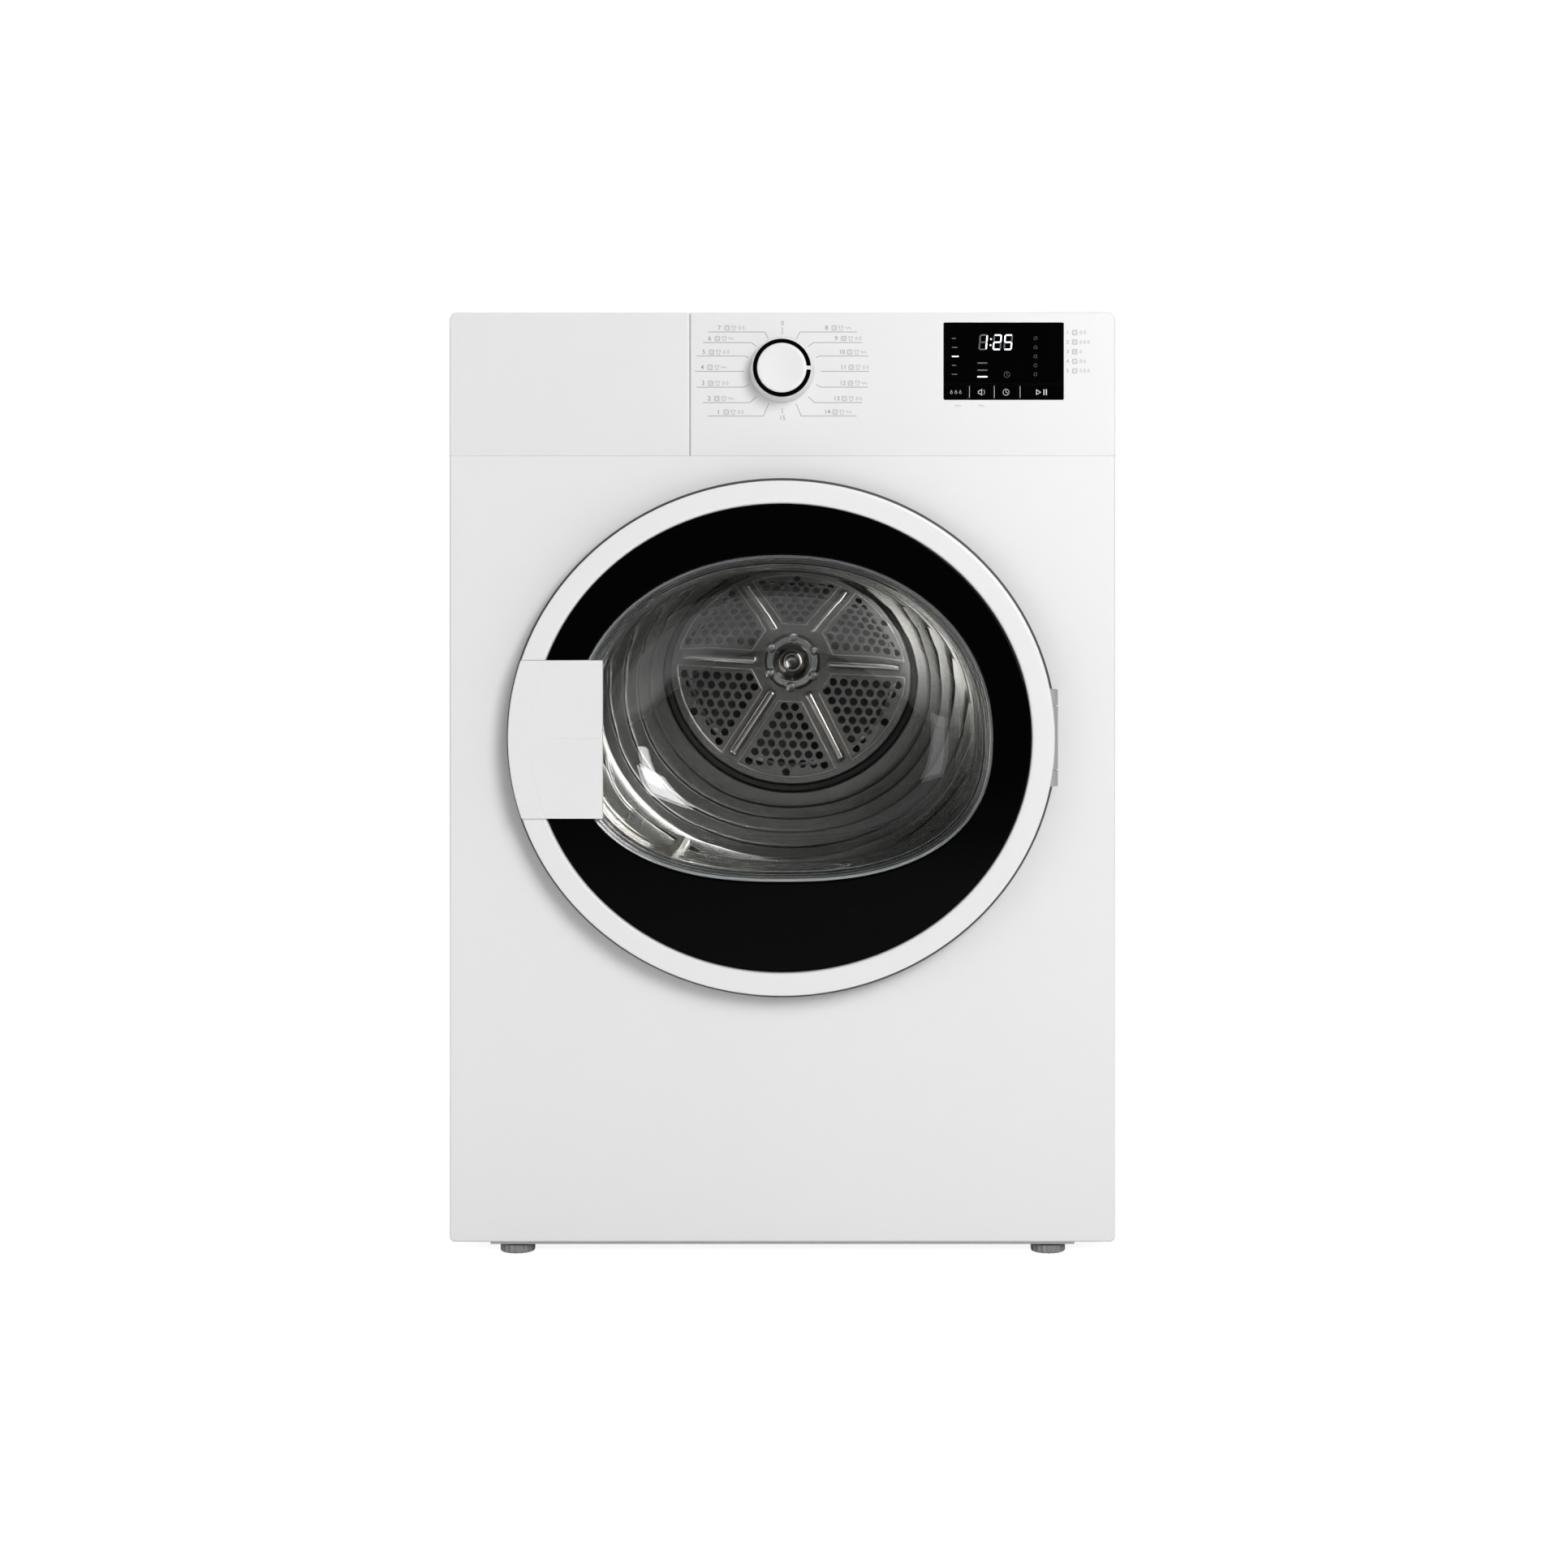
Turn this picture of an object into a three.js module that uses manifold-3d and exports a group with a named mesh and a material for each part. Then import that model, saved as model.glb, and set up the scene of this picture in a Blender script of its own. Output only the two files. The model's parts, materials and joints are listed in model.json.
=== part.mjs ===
// Compact vented clothes dryer, millimetres, +Z up, front towards -Y.
// The origin is the middle of the bounding box, on the floor under the feet.
// Depths called "back" are measured from the front panel's face, positive into the cabinet.

import * as THREE from 'three';
import { mergeVertices } from 'three/addons/utils/BufferGeometryUtils.js';
import Module from 'manifold-3d';

const wasm = await Module();
wasm.setup();

// ---- driving dimensions ------------------------------------------------------------------

const WIDTH = 597;
const HEIGHT = 846;
const CABINET_DEPTH = 530;
const HANDLE_PROUD = 33;
const COLLAR_PROUD = 22;
const SHEET = 1.5;
const FIT = 0.3;
const RUN = 0.3;

const FOOT_GAP = 9;
const SKIRT_Z = 12;
const PANEL_RETURN = 12;
const SIDE_FLANGE = 12;
const SHEET_ROUND = 4;
const FASCIA_HEIGHT = 128.5;
const FASCIA_DEPTH = 32;
const FASCIA_PROUD = 1;
const FASCIA_WALL = 3;
const FASCIA_CORNER = 7.5;
const FASCIA_SEAM_X = -83;
const TOP_THICKNESS = 24;

const DOOR_DOWN = 381;
const DOOR_HALF_HEIGHT = 228.6;
const DOOR_EXTRA_HALF_WIDTH = 14;
const RING_BAND = 20.4;
const RING_PROUD = 30;
const RING_WALL = 3;
const RING_LIFT = 4;
const TRIM_PROUD = 25.5;
const TRIM_THICKNESS = 3.2;
const MOUTH_SIDE_GAP = 92.2;
const MOUTH_TOP_GAP = 117.5;
const MOUTH_LOW_GAP = 152;
const MOUTH_POWER_UP = 2.1;
const MOUTH_POWER_DOWN = 2.45;
const GLASS = 4;
const GLASS_FLANGE = 8;
const BOWL_DEPTH = 78;
const FRAME_THICKNESS = 5;
const OPENING_MARGIN = 12;
const THROAT_WALL = 3;
const SEAL_MARGIN = 14;
const SEAL_WIDTH = 6;
const DOOR_STEPS = 44;

const HANDLE_TOP = 69;
const HANDLE_BOTTOM = 71;
const HANDLE_RIGHT_X = -158.5;
const HANDLE_PLATE = 5;
const HANDLE_SEAT = 24;

const HINGE_INSET = 3.5;
const HINGE_PROUD = 18;
const HINGE_HALF_HEIGHT = 43;
const KNUCKLE_R = 6.5;
const HINGE_LUG = 14;
const HINGE_PLATE = 2;
const PIN_R = 3;
const STRIKE_OUT = 32;
const STRIKE_HALF = 4;
const STRIKE_REACH = 12;

const DRUM_ABOVE_DOOR = 60;
const DRUM_R = 280;
const DRUM_FRONT = 60;
const DRUM_REAR_GAP = 68;
const DRUM_LIP = 37;
const DRUM_SHEET = 1.5;
const DRUM_STEPS = 36;
const BACK_PLATE_GAP = 54;
const DISC_R = 128;
const LIFTER_HEIGHT = 44;
const LIFTER_INSET = 26;
const LIFTER_REAR_GAP = 46;
const LIFTER_WIDTH = 62;
const LIFTER_WALL = 2.5;
const SHAFT_R = 8;
const SHAFT_END_GAP = 10;
const PLENUM_R = 150;
const PLENUM_WALL = 2;
const SEAL_FELT = 9;

const BULKHEAD = 48;
const BULKHEAD_WALL = 4;
const BULKHEAD_BELOW_DRUM = 293;
const BULKHEAD_ABOVE_DRUM = 287;
const BULKHEAD_INSET = 13.5;
const COLLAR_GAP = 5;
const COLLAR_WALL = 4;
const COLLAR_LENGTH = 14;
const SENSOR_WIDTH = 92;
const ROLLER_R = 20;
const ROLLER_WIDTH = 14;
const ROLLER_ANGLE = 32;
const ROLLER_AXLE_R = 5;

const MOTOR_X = 40;
const MOTOR_Z = 130;
const MOTOR_R = 57;
const MOTOR_FRONT = 130;
const MOTOR_LENGTH = 120;
const ROTOR_R = 6;
const PULLEY_R = 10;
const BELT_BACK = 264;
const BELT_WIDTH = 10;
const BELT_THICKNESS = 2.4;
const BELT_LIFT = 1;
const BLOWER_FRONT = 46.5;
const BLOWER_DEPTH = 64;
const BLOWER_R = 88;
const BLOWER_WALL = 3;
const IMPELLER_R = 70;
const DUCT_FRONT = 8;
const DUCT_DEPTH = 38;
const DUCT_WALL = 3;
const FILTER_HALF_WIDTH = 68;
const FILTER_FRONT = 14;
const FILTER_DEPTH = 22;
const FILTER_WALL = 3;
const IDLER_SHARE = 0.5;
const IDLER_PUSH = 15;
const IDLER_R = 18;
const IDLER_PIVOT_X = -80;
const IDLER_PIVOT_Z = 90;
const IDLER_PIN_R = 4;
const ARM_THICKNESS = 6;

const EXHAUST_X = -170;
const EXHAUST_Z = 80;
const EXHAUST_R = 50;
const EXHAUST_WALL = 2;
const EXHAUST_BEND = 62;
const TERMINAL_X = 200;
const TERMINAL_Z = 130;

const KNOB_X = 0;
const KNOB_DOWN = 52;
const KNOB_SKIRT_R = 29;
const KNOB_FACE_R = 25.1;
const KNOB_PROUD = 22;
const KNOB_STEM_R = 4;
const DISPLAY_WIDTH = 108;
const DISPLAY_HEIGHT = 69.6;
const DISPLAY_INSET = 46.2;
const DISPLAY_DOWN = 9.5;
const KEY_HEIGHT = 13.9;
const KEY_WIDTHS = [22.3, 22.3, 23.1];
const KEY_NAMES = ['key_dry_level', 'key_signal', 'key_delay', 'key_start'];
const KEY_DEPTH = 8;
const BOARD_BACK = 16;

const FOOT_INSET_X = 59;
const FOOT_INSET_Y = 45;
const FRONT_FOOT_INSET = 22;
const FOOT_R = 14.5;
const FOOT_HEIGHT = 8;
const FOOT_STEM_R = 6;
const FOOT_STEM_TOP = 48;
const PAN_WALL = 3;
const PAN_FLOOR = 4;
const PAN_TOP = 52;

// ---- places that follow from them --------------------------------------------------------

const DEPTH = HANDLE_PROUD + CABINET_DEPTH + COLLAR_PROUD;
const FACE_Y = -DEPTH / 2 + HANDLE_PROUD;
const HALF_WIDTH = WIDTH / 2;
const SEAM_Z = HEIGHT - FASCIA_HEIGHT - 0.5;
const SIDE_TOP = HEIGHT - TOP_THICKNESS - FIT;
const RING_BACK = -RING_LIFT;
const FRAME_BACK = RING_BACK;
const FRAME_FRONT = FRAME_BACK - FRAME_THICKNESS;
const TRIM_BACK = -TRIM_PROUD + TRIM_THICKNESS;
const TRIM_R = DOOR_HALF_HEIGHT - RING_BAND;

const DOOR_Z = HEIGHT - DOOR_DOWN;
const DRUM_Z = DOOR_Z + DRUM_ABOVE_DOOR;
const MOUTH_HALF_WIDTH = DRUM_R - MOUTH_SIDE_GAP;
const MOUTH_UP = DRUM_R - MOUTH_TOP_GAP;
const MOUTH_DOWN = DRUM_R - MOUTH_LOW_GAP;
const KNOB_Z = HEIGHT - KNOB_DOWN;
const DISPLAY_RIGHT = HALF_WIDTH - DISPLAY_INSET;
const DISPLAY_LEFT = DISPLAY_RIGHT - DISPLAY_WIDTH;
const DISPLAY_TOP = HEIGHT - DISPLAY_DOWN;
const DISPLAY_BOTTOM = DISPLAY_TOP - DISPLAY_HEIGHT;
const HINGE_X = DOOR_HALF_HEIGHT + DOOR_EXTRA_HALF_WIDTH - HINGE_INSET;
const STRIKE_X = -MOUTH_HALF_WIDTH - STRIKE_OUT;
const DRUM_REAR = CABINET_DEPTH - DRUM_REAR_GAP;
const DRUM_MOUTH_R = DRUM_R - DRUM_LIP;
const BACK_PLATE = CABINET_DEPTH - BACK_PLATE_GAP;
const SHAFT_END = CABINET_DEPTH - SHAFT_END_GAP;
const COLLAR_R = DRUM_MOUTH_R - COLLAR_GAP;
const SLOT_Z = DOOR_Z - MOUTH_DOWN - OPENING_MARGIN;

const yAt = (back) => FACE_Y + back;

// ---- belt line ---------------------------------------------------------------------------

// Where a straight run leaves circle a and meets circle b. A circle's turn is 1 where the
// belt goes round it anticlockwise, seen with x to the right and z up, and -1 clockwise.
function tangent(a, b) {
  const dx = b.x - a.x;
  const dz = b.z - a.z;
  const lean = Math.asin((b.turn * b.r - a.turn * a.r) / Math.hypot(dx, dz));
  const normal = Math.atan2(dz, dx) - Math.PI / 2 - lean;
  const at = (circle) => [
    circle.x + circle.turn * circle.r * Math.cos(normal),
    circle.z + circle.turn * circle.r * Math.sin(normal),
  ];
  return { leave: at(a), meet: at(b), normal };
}

const DRUM_BELT = { x: 0, z: DRUM_Z, r: DRUM_R + BELT_THICKNESS / 2 + BELT_LIFT, turn: 1, steps: 40 };
const MOTOR_BELT = { x: MOTOR_X, z: MOTOR_Z, r: PULLEY_R + BELT_THICKNESS / 2 + RUN, turn: 1, steps: 10 };
const IDLER_BELT = idlerBelt();
const IDLER_X = IDLER_BELT.x;
const IDLER_Z = IDLER_BELT.z;

// The idler sits outside the slack strand and pushes it inwards.
function idlerBelt() {
  const { leave, meet, normal } = tangent(DRUM_BELT, MOTOR_BELT);
  const r = IDLER_R + BELT_THICKNESS / 2 + RUN;
  const at = (k) => leave[k] + (meet[k] - leave[k]) * IDLER_SHARE;
  return {
    x: at(0) + (r - IDLER_PUSH) * Math.cos(normal),
    z: at(1) + (r - IDLER_PUSH) * Math.sin(normal),
    r,
    turn: -1,
    steps: 6,
  };
}

// ---- solids ------------------------------------------------------------------------------

// A closed three.js geometry becomes a solid with shared vertices and outward faces.
function solid(geometry) {
  const bare = geometry.clone();
  bare.deleteAttribute('normal');
  bare.deleteAttribute('uv');
  const merged = mergeVertices(bare, 1e-4);
  const position = merged.getAttribute('position');
  const index = merged.getIndex().array;
  const corners = [];
  for (let i = 0; i < index.length; i += 3) {
    const [i0, i1, i2] = [index[i], index[i + 1], index[i + 2]];
    if (i0 !== i1 && i1 !== i2 && i2 !== i0) corners.push(i0, i1, i2);
  }
  const a = new THREE.Vector3();
  const b = new THREE.Vector3();
  const c = new THREE.Vector3();
  let volume = 0;
  for (let i = 0; i < corners.length; i += 3) {
    a.fromBufferAttribute(position, corners[i]);
    b.fromBufferAttribute(position, corners[i + 1]);
    c.fromBufferAttribute(position, corners[i + 2]);
    volume += a.dot(b.cross(c));
  }
  if (volume < 0) corners.reverse();
  const mesh = new wasm.Mesh({
    numProp: 3,
    vertProperties: Float32Array.from(position.array),
    triVerts: Uint32Array.from(corners),
  });
  return new wasm.Manifold(mesh);
}

function geometryOf(manifold) {
  const mesh = manifold.getMesh();
  const geometry = new THREE.BufferGeometry();
  geometry.setAttribute('position', new THREE.BufferAttribute(new Float32Array(mesh.vertProperties), 3));
  geometry.setIndex(new THREE.BufferAttribute(new Uint32Array(mesh.triVerts), 1));
  return geometry;
}

const join = (...pieces) => pieces.reduce((sum, piece) => sum.add(piece));
const cut = (body, ...tools) => tools.reduce((rest, tool) => rest.subtract(tool), body);

// A box between two x values, two depths behind the front face and two heights.
function block(x0, x1, back0, back1, z0, z1) {
  const geometry = new THREE.BoxGeometry(x1 - x0, back1 - back0, z1 - z0);
  geometry.translate((x0 + x1) / 2, yAt((back0 + back1) / 2), (z0 + z1) / 2);
  return solid(geometry);
}

// A round bar along the depth, whose two ends may differ in radius.
function barY(x, z, r, back0, back1, sides = 24, rearR = r) {
  const geometry = new THREE.CylinderGeometry(rearR, r, back1 - back0, sides);
  geometry.translate(x, yAt((back0 + back1) / 2), z);
  return solid(geometry);
}

function barZ(x, back, r, z0, z1, sides = 20, topR = r) {
  const geometry = new THREE.CylinderGeometry(topR, r, z1 - z0, sides);
  geometry.rotateX(Math.PI / 2);
  geometry.translate(x, yAt(back), (z0 + z1) / 2);
  return solid(geometry);
}

function barX(x0, x1, back, z, r, sides = 20) {
  const geometry = new THREE.CylinderGeometry(r, r, x1 - x0, sides);
  geometry.rotateZ(Math.PI / 2);
  geometry.translate((x0 + x1) / 2, yAt(back), z);
  return solid(geometry);
}

function discShape(r) {
  const disc = new THREE.Shape();
  disc.absarc(0, 0, r, 0, 2 * Math.PI, false);
  return disc;
}

// An outline drawn in x and z, extruded between two depths, with its edges rounded by "round".
function slab(shape, back0, back1, round = 0, curveSegments = 6) {
  const geometry = new THREE.ExtrudeGeometry(shape, {
    depth: back1 - back0 - 2 * round,
    steps: 1,
    curveSegments,
    bevelEnabled: round > 0,
    bevelThickness: round,
    bevelSize: round,
    bevelOffset: -round,
    bevelSegments: 2,
  });
  geometry.rotateX(Math.PI / 2);
  geometry.translate(0, yAt(back1 - round), 0);
  return solid(geometry);
}

// A rectangle in x and z; corner radii go lower left, lower right, upper right, upper left.
function rectangle(x0, x1, z0, z1, radii = [0, 0, 0, 0]) {
  const [lowLeft, lowRight, highRight, highLeft] = radii;
  const shape = new THREE.Shape();
  const quarter = Math.PI / 2;
  shape.moveTo(x0 + lowLeft, z0);
  shape.lineTo(x1 - lowRight, z0);
  if (lowRight) shape.absarc(x1 - lowRight, z0 + lowRight, lowRight, -quarter, 0, false);
  shape.lineTo(x1, z1 - highRight);
  if (highRight) shape.absarc(x1 - highRight, z1 - highRight, highRight, 0, quarter, false);
  shape.lineTo(x0 + highLeft, z1);
  if (highLeft) shape.absarc(x0 + highLeft, z1 - highLeft, highLeft, quarter, 2 * quarter, false);
  shape.lineTo(x0, z0 + lowLeft);
  if (lowLeft) shape.absarc(x0 + lowLeft, z0 + lowLeft, lowLeft, 2 * quarter, 3 * quarter, false);
  return shape;
}

function outlineShape(outline, steps) {
  const points = [];
  for (let i = 0; i < steps; i += 1) {
    const [x, z] = outline((2 * Math.PI * i) / steps);
    points.push(new THREE.Vector2(x, z));
  }
  return new THREE.Shape(points);
}

// A body swept round the depth axis through a list of stations. Each station is an outline,
// a function of the angle that gives x and z, and a depth. The list closes on itself, or
// starts and ends at points on the axis.
function sweep(stations, steps, closed = true) {
  const list = closed ? [...stations, stations[0]] : stations;
  const profile = list.map((station, i) => new THREE.Vector2(1 + i, yAt(station.back)));
  const geometry = new THREE.LatheGeometry(profile, steps);
  const position = geometry.getAttribute('position');
  for (let i = 0; i <= steps; i += 1) {
    const angle = (2 * Math.PI * (i % steps)) / steps;
    list.forEach((station, j) => {
      const [x, z] = station.outline(angle);
      position.setXYZ(i * list.length + j, x, yAt(station.back), z);
    });
  }
  return solid(geometry);
}

const circleAt = (cx, cz, r) => (angle) => [cx + r * Math.cos(angle), cz + r * Math.sin(angle)];
const drumCircle = (r) => circleAt(0, DRUM_Z, r);

// Door outline: wider than it is high, with bands of even width all round.
const doorOutline = (r) => (angle) => [
  (r + DOOR_EXTRA_HALF_WIDTH) * Math.cos(angle),
  DOOR_Z + r * Math.sin(angle),
];

// Mouth of the glass bowl: a soft oval, fuller below than above.
const mouthOutline = (margin) => (angle) => {
  const up = Math.sin(angle) >= 0;
  const power = up ? MOUTH_POWER_UP : MOUTH_POWER_DOWN;
  const halfWidth = MOUTH_HALF_WIDTH + margin;
  const halfHeight = (up ? MOUTH_UP : MOUTH_DOWN) + margin;
  const across = Math.abs(Math.cos(angle) / halfWidth) ** power;
  const along = Math.abs(Math.sin(angle) / halfHeight) ** power;
  const r = (across + along) ** (-1 / power);
  return [r * Math.cos(angle), DOOR_Z + r * Math.sin(angle)];
};

const stationsOf = (outlineOf, pairs) => pairs.map(([size, back]) => ({ outline: outlineOf(size), back }));
const turned = (outlineOf, pairs, steps, closed = true) => sweep(stationsOf(outlineOf, pairs), steps, closed);

// ---- cabinet -----------------------------------------------------------------------------

// A sheet pan: a face with rounded edges and returns all round, open at its back.
function frontPan(x0, x1, z0, z1, front, depth, wall, round, corners, inner) {
  const body = slab(rectangle(x0, x1, z0, z1, corners), front, front + depth + 2 * round, round);
  const trimmed = body.intersect(block(x0 - 1, x1 + 1, front - 1, front + depth, z0 - 1, z1 + 1));
  const hollow = slab(rectangle(x0 + wall, x1 - wall, z0 + wall, z1 - wall, inner),
    front + wall, front + depth + 1);
  return cut(trimmed, hollow);
}

function frontPanel() {
  const pan = frontPan(-HALF_WIDTH, HALF_WIDTH, SKIRT_Z, SEAM_Z - FIT, 0, PANEL_RETURN,
    SHEET, SHEET_ROUND, [SHEET_ROUND + 1, SHEET_ROUND + 1, 0, 0], [2, 2, 0, 0]);
  const way = slab(outlineShape(mouthOutline(OPENING_MARGIN), DOOR_STEPS), -1, SHEET + 1);
  const slot = block(STRIKE_X - STRIKE_HALF - 6, STRIKE_X + STRIKE_HALF + 6, -1, SHEET + 1,
    DOOR_Z - 15, DOOR_Z + 15);
  return cut(pan, way, slot);
}

function sidePanel(side) {
  const front = PANEL_RETURN + FIT;
  const rear = CABINET_DEPTH - PANEL_RETURN - FIT;
  const inner = HALF_WIDTH - SIDE_FLANGE;
  const outer = block(inner, HALF_WIDTH, front, rear, SKIRT_Z, SIDE_TOP);
  const hollow = block(inner - 1, HALF_WIDTH - SHEET, front + SHEET, rear - SHEET,
    SKIRT_Z - 1, SIDE_TOP + 1);
  const fasciaNotch = block(0, HALF_WIDTH + 1, front - 1, FASCIA_DEPTH + FIT, SEAM_Z - FIT, HEIGHT);
  const panel = cut(outer, hollow, fasciaNotch);
  return side > 0 ? panel : panel.mirror([1, 0, 0]);
}

function rearPanel() {
  const rear = CABINET_DEPTH;
  const outer = block(-HALF_WIDTH, HALF_WIDTH, rear - PANEL_RETURN, rear, SKIRT_Z, SIDE_TOP);
  const hollow = block(-HALF_WIDTH + SHEET, HALF_WIDTH - SHEET, rear - PANEL_RETURN - 1, rear - SHEET,
    SKIRT_Z + SHEET, SIDE_TOP - SHEET);
  const pipeHole = barY(EXHAUST_X, EXHAUST_Z, EXHAUST_R + 1, rear - 3, rear + 1, 24);
  const cableHole = block(TERMINAL_X - 12, TERMINAL_X + 12, rear - 3, rear + 1,
    TERMINAL_Z - 8, TERMINAL_Z + 8);
  let panel = cut(outer, hollow, pipeHole, cableHole);
  const louvres = 6;
  for (let i = 0; i < louvres; i += 1) {
    const z = DRUM_Z - 62.5 + 25 * i;
    panel = cut(panel, block(-120, -60, rear - 3, rear + 1, z - 3, z + 3));
    panel = cut(panel, block(60, 120, rear - 3, rear + 1, z - 3, z + 3));
  }
  return panel;
}

function topPanel() {
  const geometry = new THREE.ExtrudeGeometry(
    rectangle(-HALF_WIDTH, HALF_WIDTH, 0, CABINET_DEPTH - FASCIA_DEPTH - FIT),
    {
      depth: TOP_THICKNESS - 5,
      bevelThickness: 2.5,
      bevelSize: 2.5,
      bevelOffset: -2.5,
      bevelSegments: 2,
    },
  );
  geometry.translate(0, yAt(FASCIA_DEPTH + FIT), HEIGHT - TOP_THICKNESS + 2.5);
  return solid(geometry);
}

function controlFascia() {
  const x0 = FASCIA_SEAM_X + FIT / 2;
  const corner = FASCIA_CORNER;
  const pan = frontPan(x0, HALF_WIDTH, SEAM_Z, HEIGHT, -FASCIA_PROUD, FASCIA_DEPTH + FASCIA_PROUD,
    FASCIA_WALL, 2, [0, 0, corner, 0], [0, 0, corner - FASCIA_WALL, 0]);
  const stemHole = barY(KNOB_X, KNOB_Z, KNOB_STEM_R + 1, -3, FASCIA_WALL + 1, 16);
  const window = block(DISPLAY_LEFT, DISPLAY_RIGHT, -3, FASCIA_WALL + 1, DISPLAY_BOTTOM, DISPLAY_TOP);
  return cut(pan, stemHole, window);
}

function blankCover() {
  const x1 = FASCIA_SEAM_X - FIT / 2;
  const corner = FASCIA_CORNER;
  return frontPan(-HALF_WIDTH, x1, SEAM_Z, HEIGHT, -FASCIA_PROUD, FASCIA_DEPTH + FASCIA_PROUD,
    FASCIA_WALL, 2, [0, 0, 0, corner], [0, 0, 0, corner - FASCIA_WALL]);
}

function basePan() {
  const half = HALF_WIDTH - SIDE_FLANGE - FIT;
  const front = SHEET + FIT;
  const rear = CABINET_DEPTH - SHEET - FIT;
  const tub = cut(
    block(-half, half, front, rear, SKIRT_Z + SHEET + FIT, PAN_TOP),
    block(-half + PAN_WALL, half - PAN_WALL, front + PAN_WALL, rear - PAN_WALL,
      SKIRT_Z + SHEET + FIT + PAN_FLOOR, PAN_TOP + 1),
  );
  const belly = new THREE.Shape();
  belly.moveTo(-half + 15, SKIRT_Z + SHEET + 2);
  belly.lineTo(-half + 25, FOOT_GAP);
  belly.lineTo(half - 25, FOOT_GAP);
  belly.lineTo(half - 15, SKIRT_Z + SHEET + 2);
  let pan = join(tub, slab(belly, PANEL_RETURN + 2, CABINET_DEPTH - PANEL_RETURN - 2));
  for (const { x, back } of footPlaces()) {
    pan = join(pan, barZ(x, back, 18, SKIRT_Z + 3, PAN_TOP, 20));
  }
  for (const back of [MOTOR_FRONT + 18, MOTOR_FRONT + MOTOR_LENGTH - 28]) {
    const cradle = block(MOTOR_X - 50, MOTOR_X + 50, back, back + 10, SKIRT_Z + 4, MOTOR_Z - 22);
    pan = join(pan, cradle);
  }
  const armBack = BELT_BACK - ARM_THICKNESS - 14;
  const post = block(IDLER_PIVOT_X - 14, IDLER_PIVOT_X + 14, armBack, armBack + 9,
    SKIRT_Z + 4, IDLER_PIVOT_Z + 14);
  const pivot = barY(IDLER_PIVOT_X, IDLER_PIVOT_Z, IDLER_PIN_R, armBack + 8, BELT_BACK - 1, 16);
  pan = join(pan, post, pivot);
  pan = cut(pan, barY(MOTOR_X, MOTOR_Z, MOTOR_R + FIT, MOTOR_FRONT, MOTOR_FRONT + MOTOR_LENGTH, 32));
  pan = cut(pan, barY(EXHAUST_X, EXHAUST_Z, EXHAUST_R + 1, rear - PAN_WALL - 1, rear + 1, 24));
  for (const { x, back } of footPlaces()) {
    pan = cut(pan, barZ(x, back, FOOT_STEM_R + 0.5, FOOT_GAP - 1, PAN_TOP + 1, 20));
  }
  return pan;
}

// ---- feet --------------------------------------------------------------------------------

function footPlaces() {
  const x = HALF_WIDTH - FOOT_INSET_X;
  const rear = CABINET_DEPTH - FOOT_INSET_Y;
  return [
    { name: 'foot_front_left', x: -x, back: FRONT_FOOT_INSET },
    { name: 'foot_front_right', x, back: FRONT_FOOT_INSET },
    { name: 'foot_rear_left', x: -x, back: rear },
    { name: 'foot_rear_right', x, back: rear },
  ];
}

function foot(x, back) {
  const sole = barZ(x, back, FOOT_R - 1.5, 0, 2, 12, FOOT_R);
  const grip = barZ(x, back, FOOT_R, 2, FOOT_HEIGHT, 12);
  const stem = barZ(x, back, FOOT_STEM_R, FOOT_HEIGHT - 1, FOOT_STEM_TOP, 16);
  return join(sole, grip, stem);
}

// ---- controls ----------------------------------------------------------------------------

function displayWindow() {
  return block(DISPLAY_LEFT + FIT, DISPLAY_RIGHT - FIT, -FASCIA_PROUD + 0.2, FASCIA_WALL,
    DISPLAY_BOTTOM + KEY_HEIGHT + FIT, DISPLAY_TOP - FIT);
}

function key(i) {
  const edges = [DISPLAY_LEFT];
  KEY_WIDTHS.forEach((width) => edges.push(edges[edges.length - 1] + width));
  edges.push(DISPLAY_RIGHT);
  const gap = 0.4;
  return block(edges[i] + gap, edges[i + 1] - gap, -FASCIA_PROUD + 0.1, KEY_DEPTH,
    DISPLAY_BOTTOM + gap, DISPLAY_BOTTOM + KEY_HEIGHT - gap);
}

function controlBoard() {
  const board = block(DISPLAY_LEFT - 30, DISPLAY_RIGHT + 20, BOARD_BACK, BOARD_BACK + 2,
    DISPLAY_BOTTOM - 30, DISPLAY_TOP - 4);
  const lamp = block(DISPLAY_LEFT + 20, DISPLAY_RIGHT - 20, FASCIA_WALL + 1, BOARD_BACK,
    DISPLAY_BOTTOM + KEY_HEIGHT + 8, DISPLAY_TOP - 8);
  const relay = block(DISPLAY_LEFT - 24, DISPLAY_LEFT, BOARD_BACK + 2, BOARD_BACK + 16,
    DISPLAY_BOTTOM - 20, DISPLAY_BOTTOM + 4);
  return join(board, lamp, relay);
}

function selectorSwitch() {
  const body = block(KNOB_X - 18, KNOB_X + 18, FASCIA_WALL, FASCIA_WALL + 18, KNOB_Z - 18, KNOB_Z + 18);
  return cut(body, barY(KNOB_X, KNOB_Z, KNOB_STEM_R + RUN, 0, FASCIA_WALL + 14, 16));
}

function programmeKnob() {
  const front = -FASCIA_PROUD - KNOB_PROUD;
  const skirt = barY(KNOB_X, KNOB_Z, KNOB_FACE_R + 1.2, front + 3, -FASCIA_PROUD - 0.6, 40, KNOB_SKIRT_R);
  const face = barY(KNOB_X, KNOB_Z, KNOB_FACE_R - 1, front, front + 3, 40, KNOB_FACE_R + 1.2);
  const stem = barY(KNOB_X, KNOB_Z, KNOB_STEM_R, -FASCIA_PROUD - 2, FASCIA_WALL + 12, 16);
  return join(skirt, face, stem);
}

// ---- door --------------------------------------------------------------------------------

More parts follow.
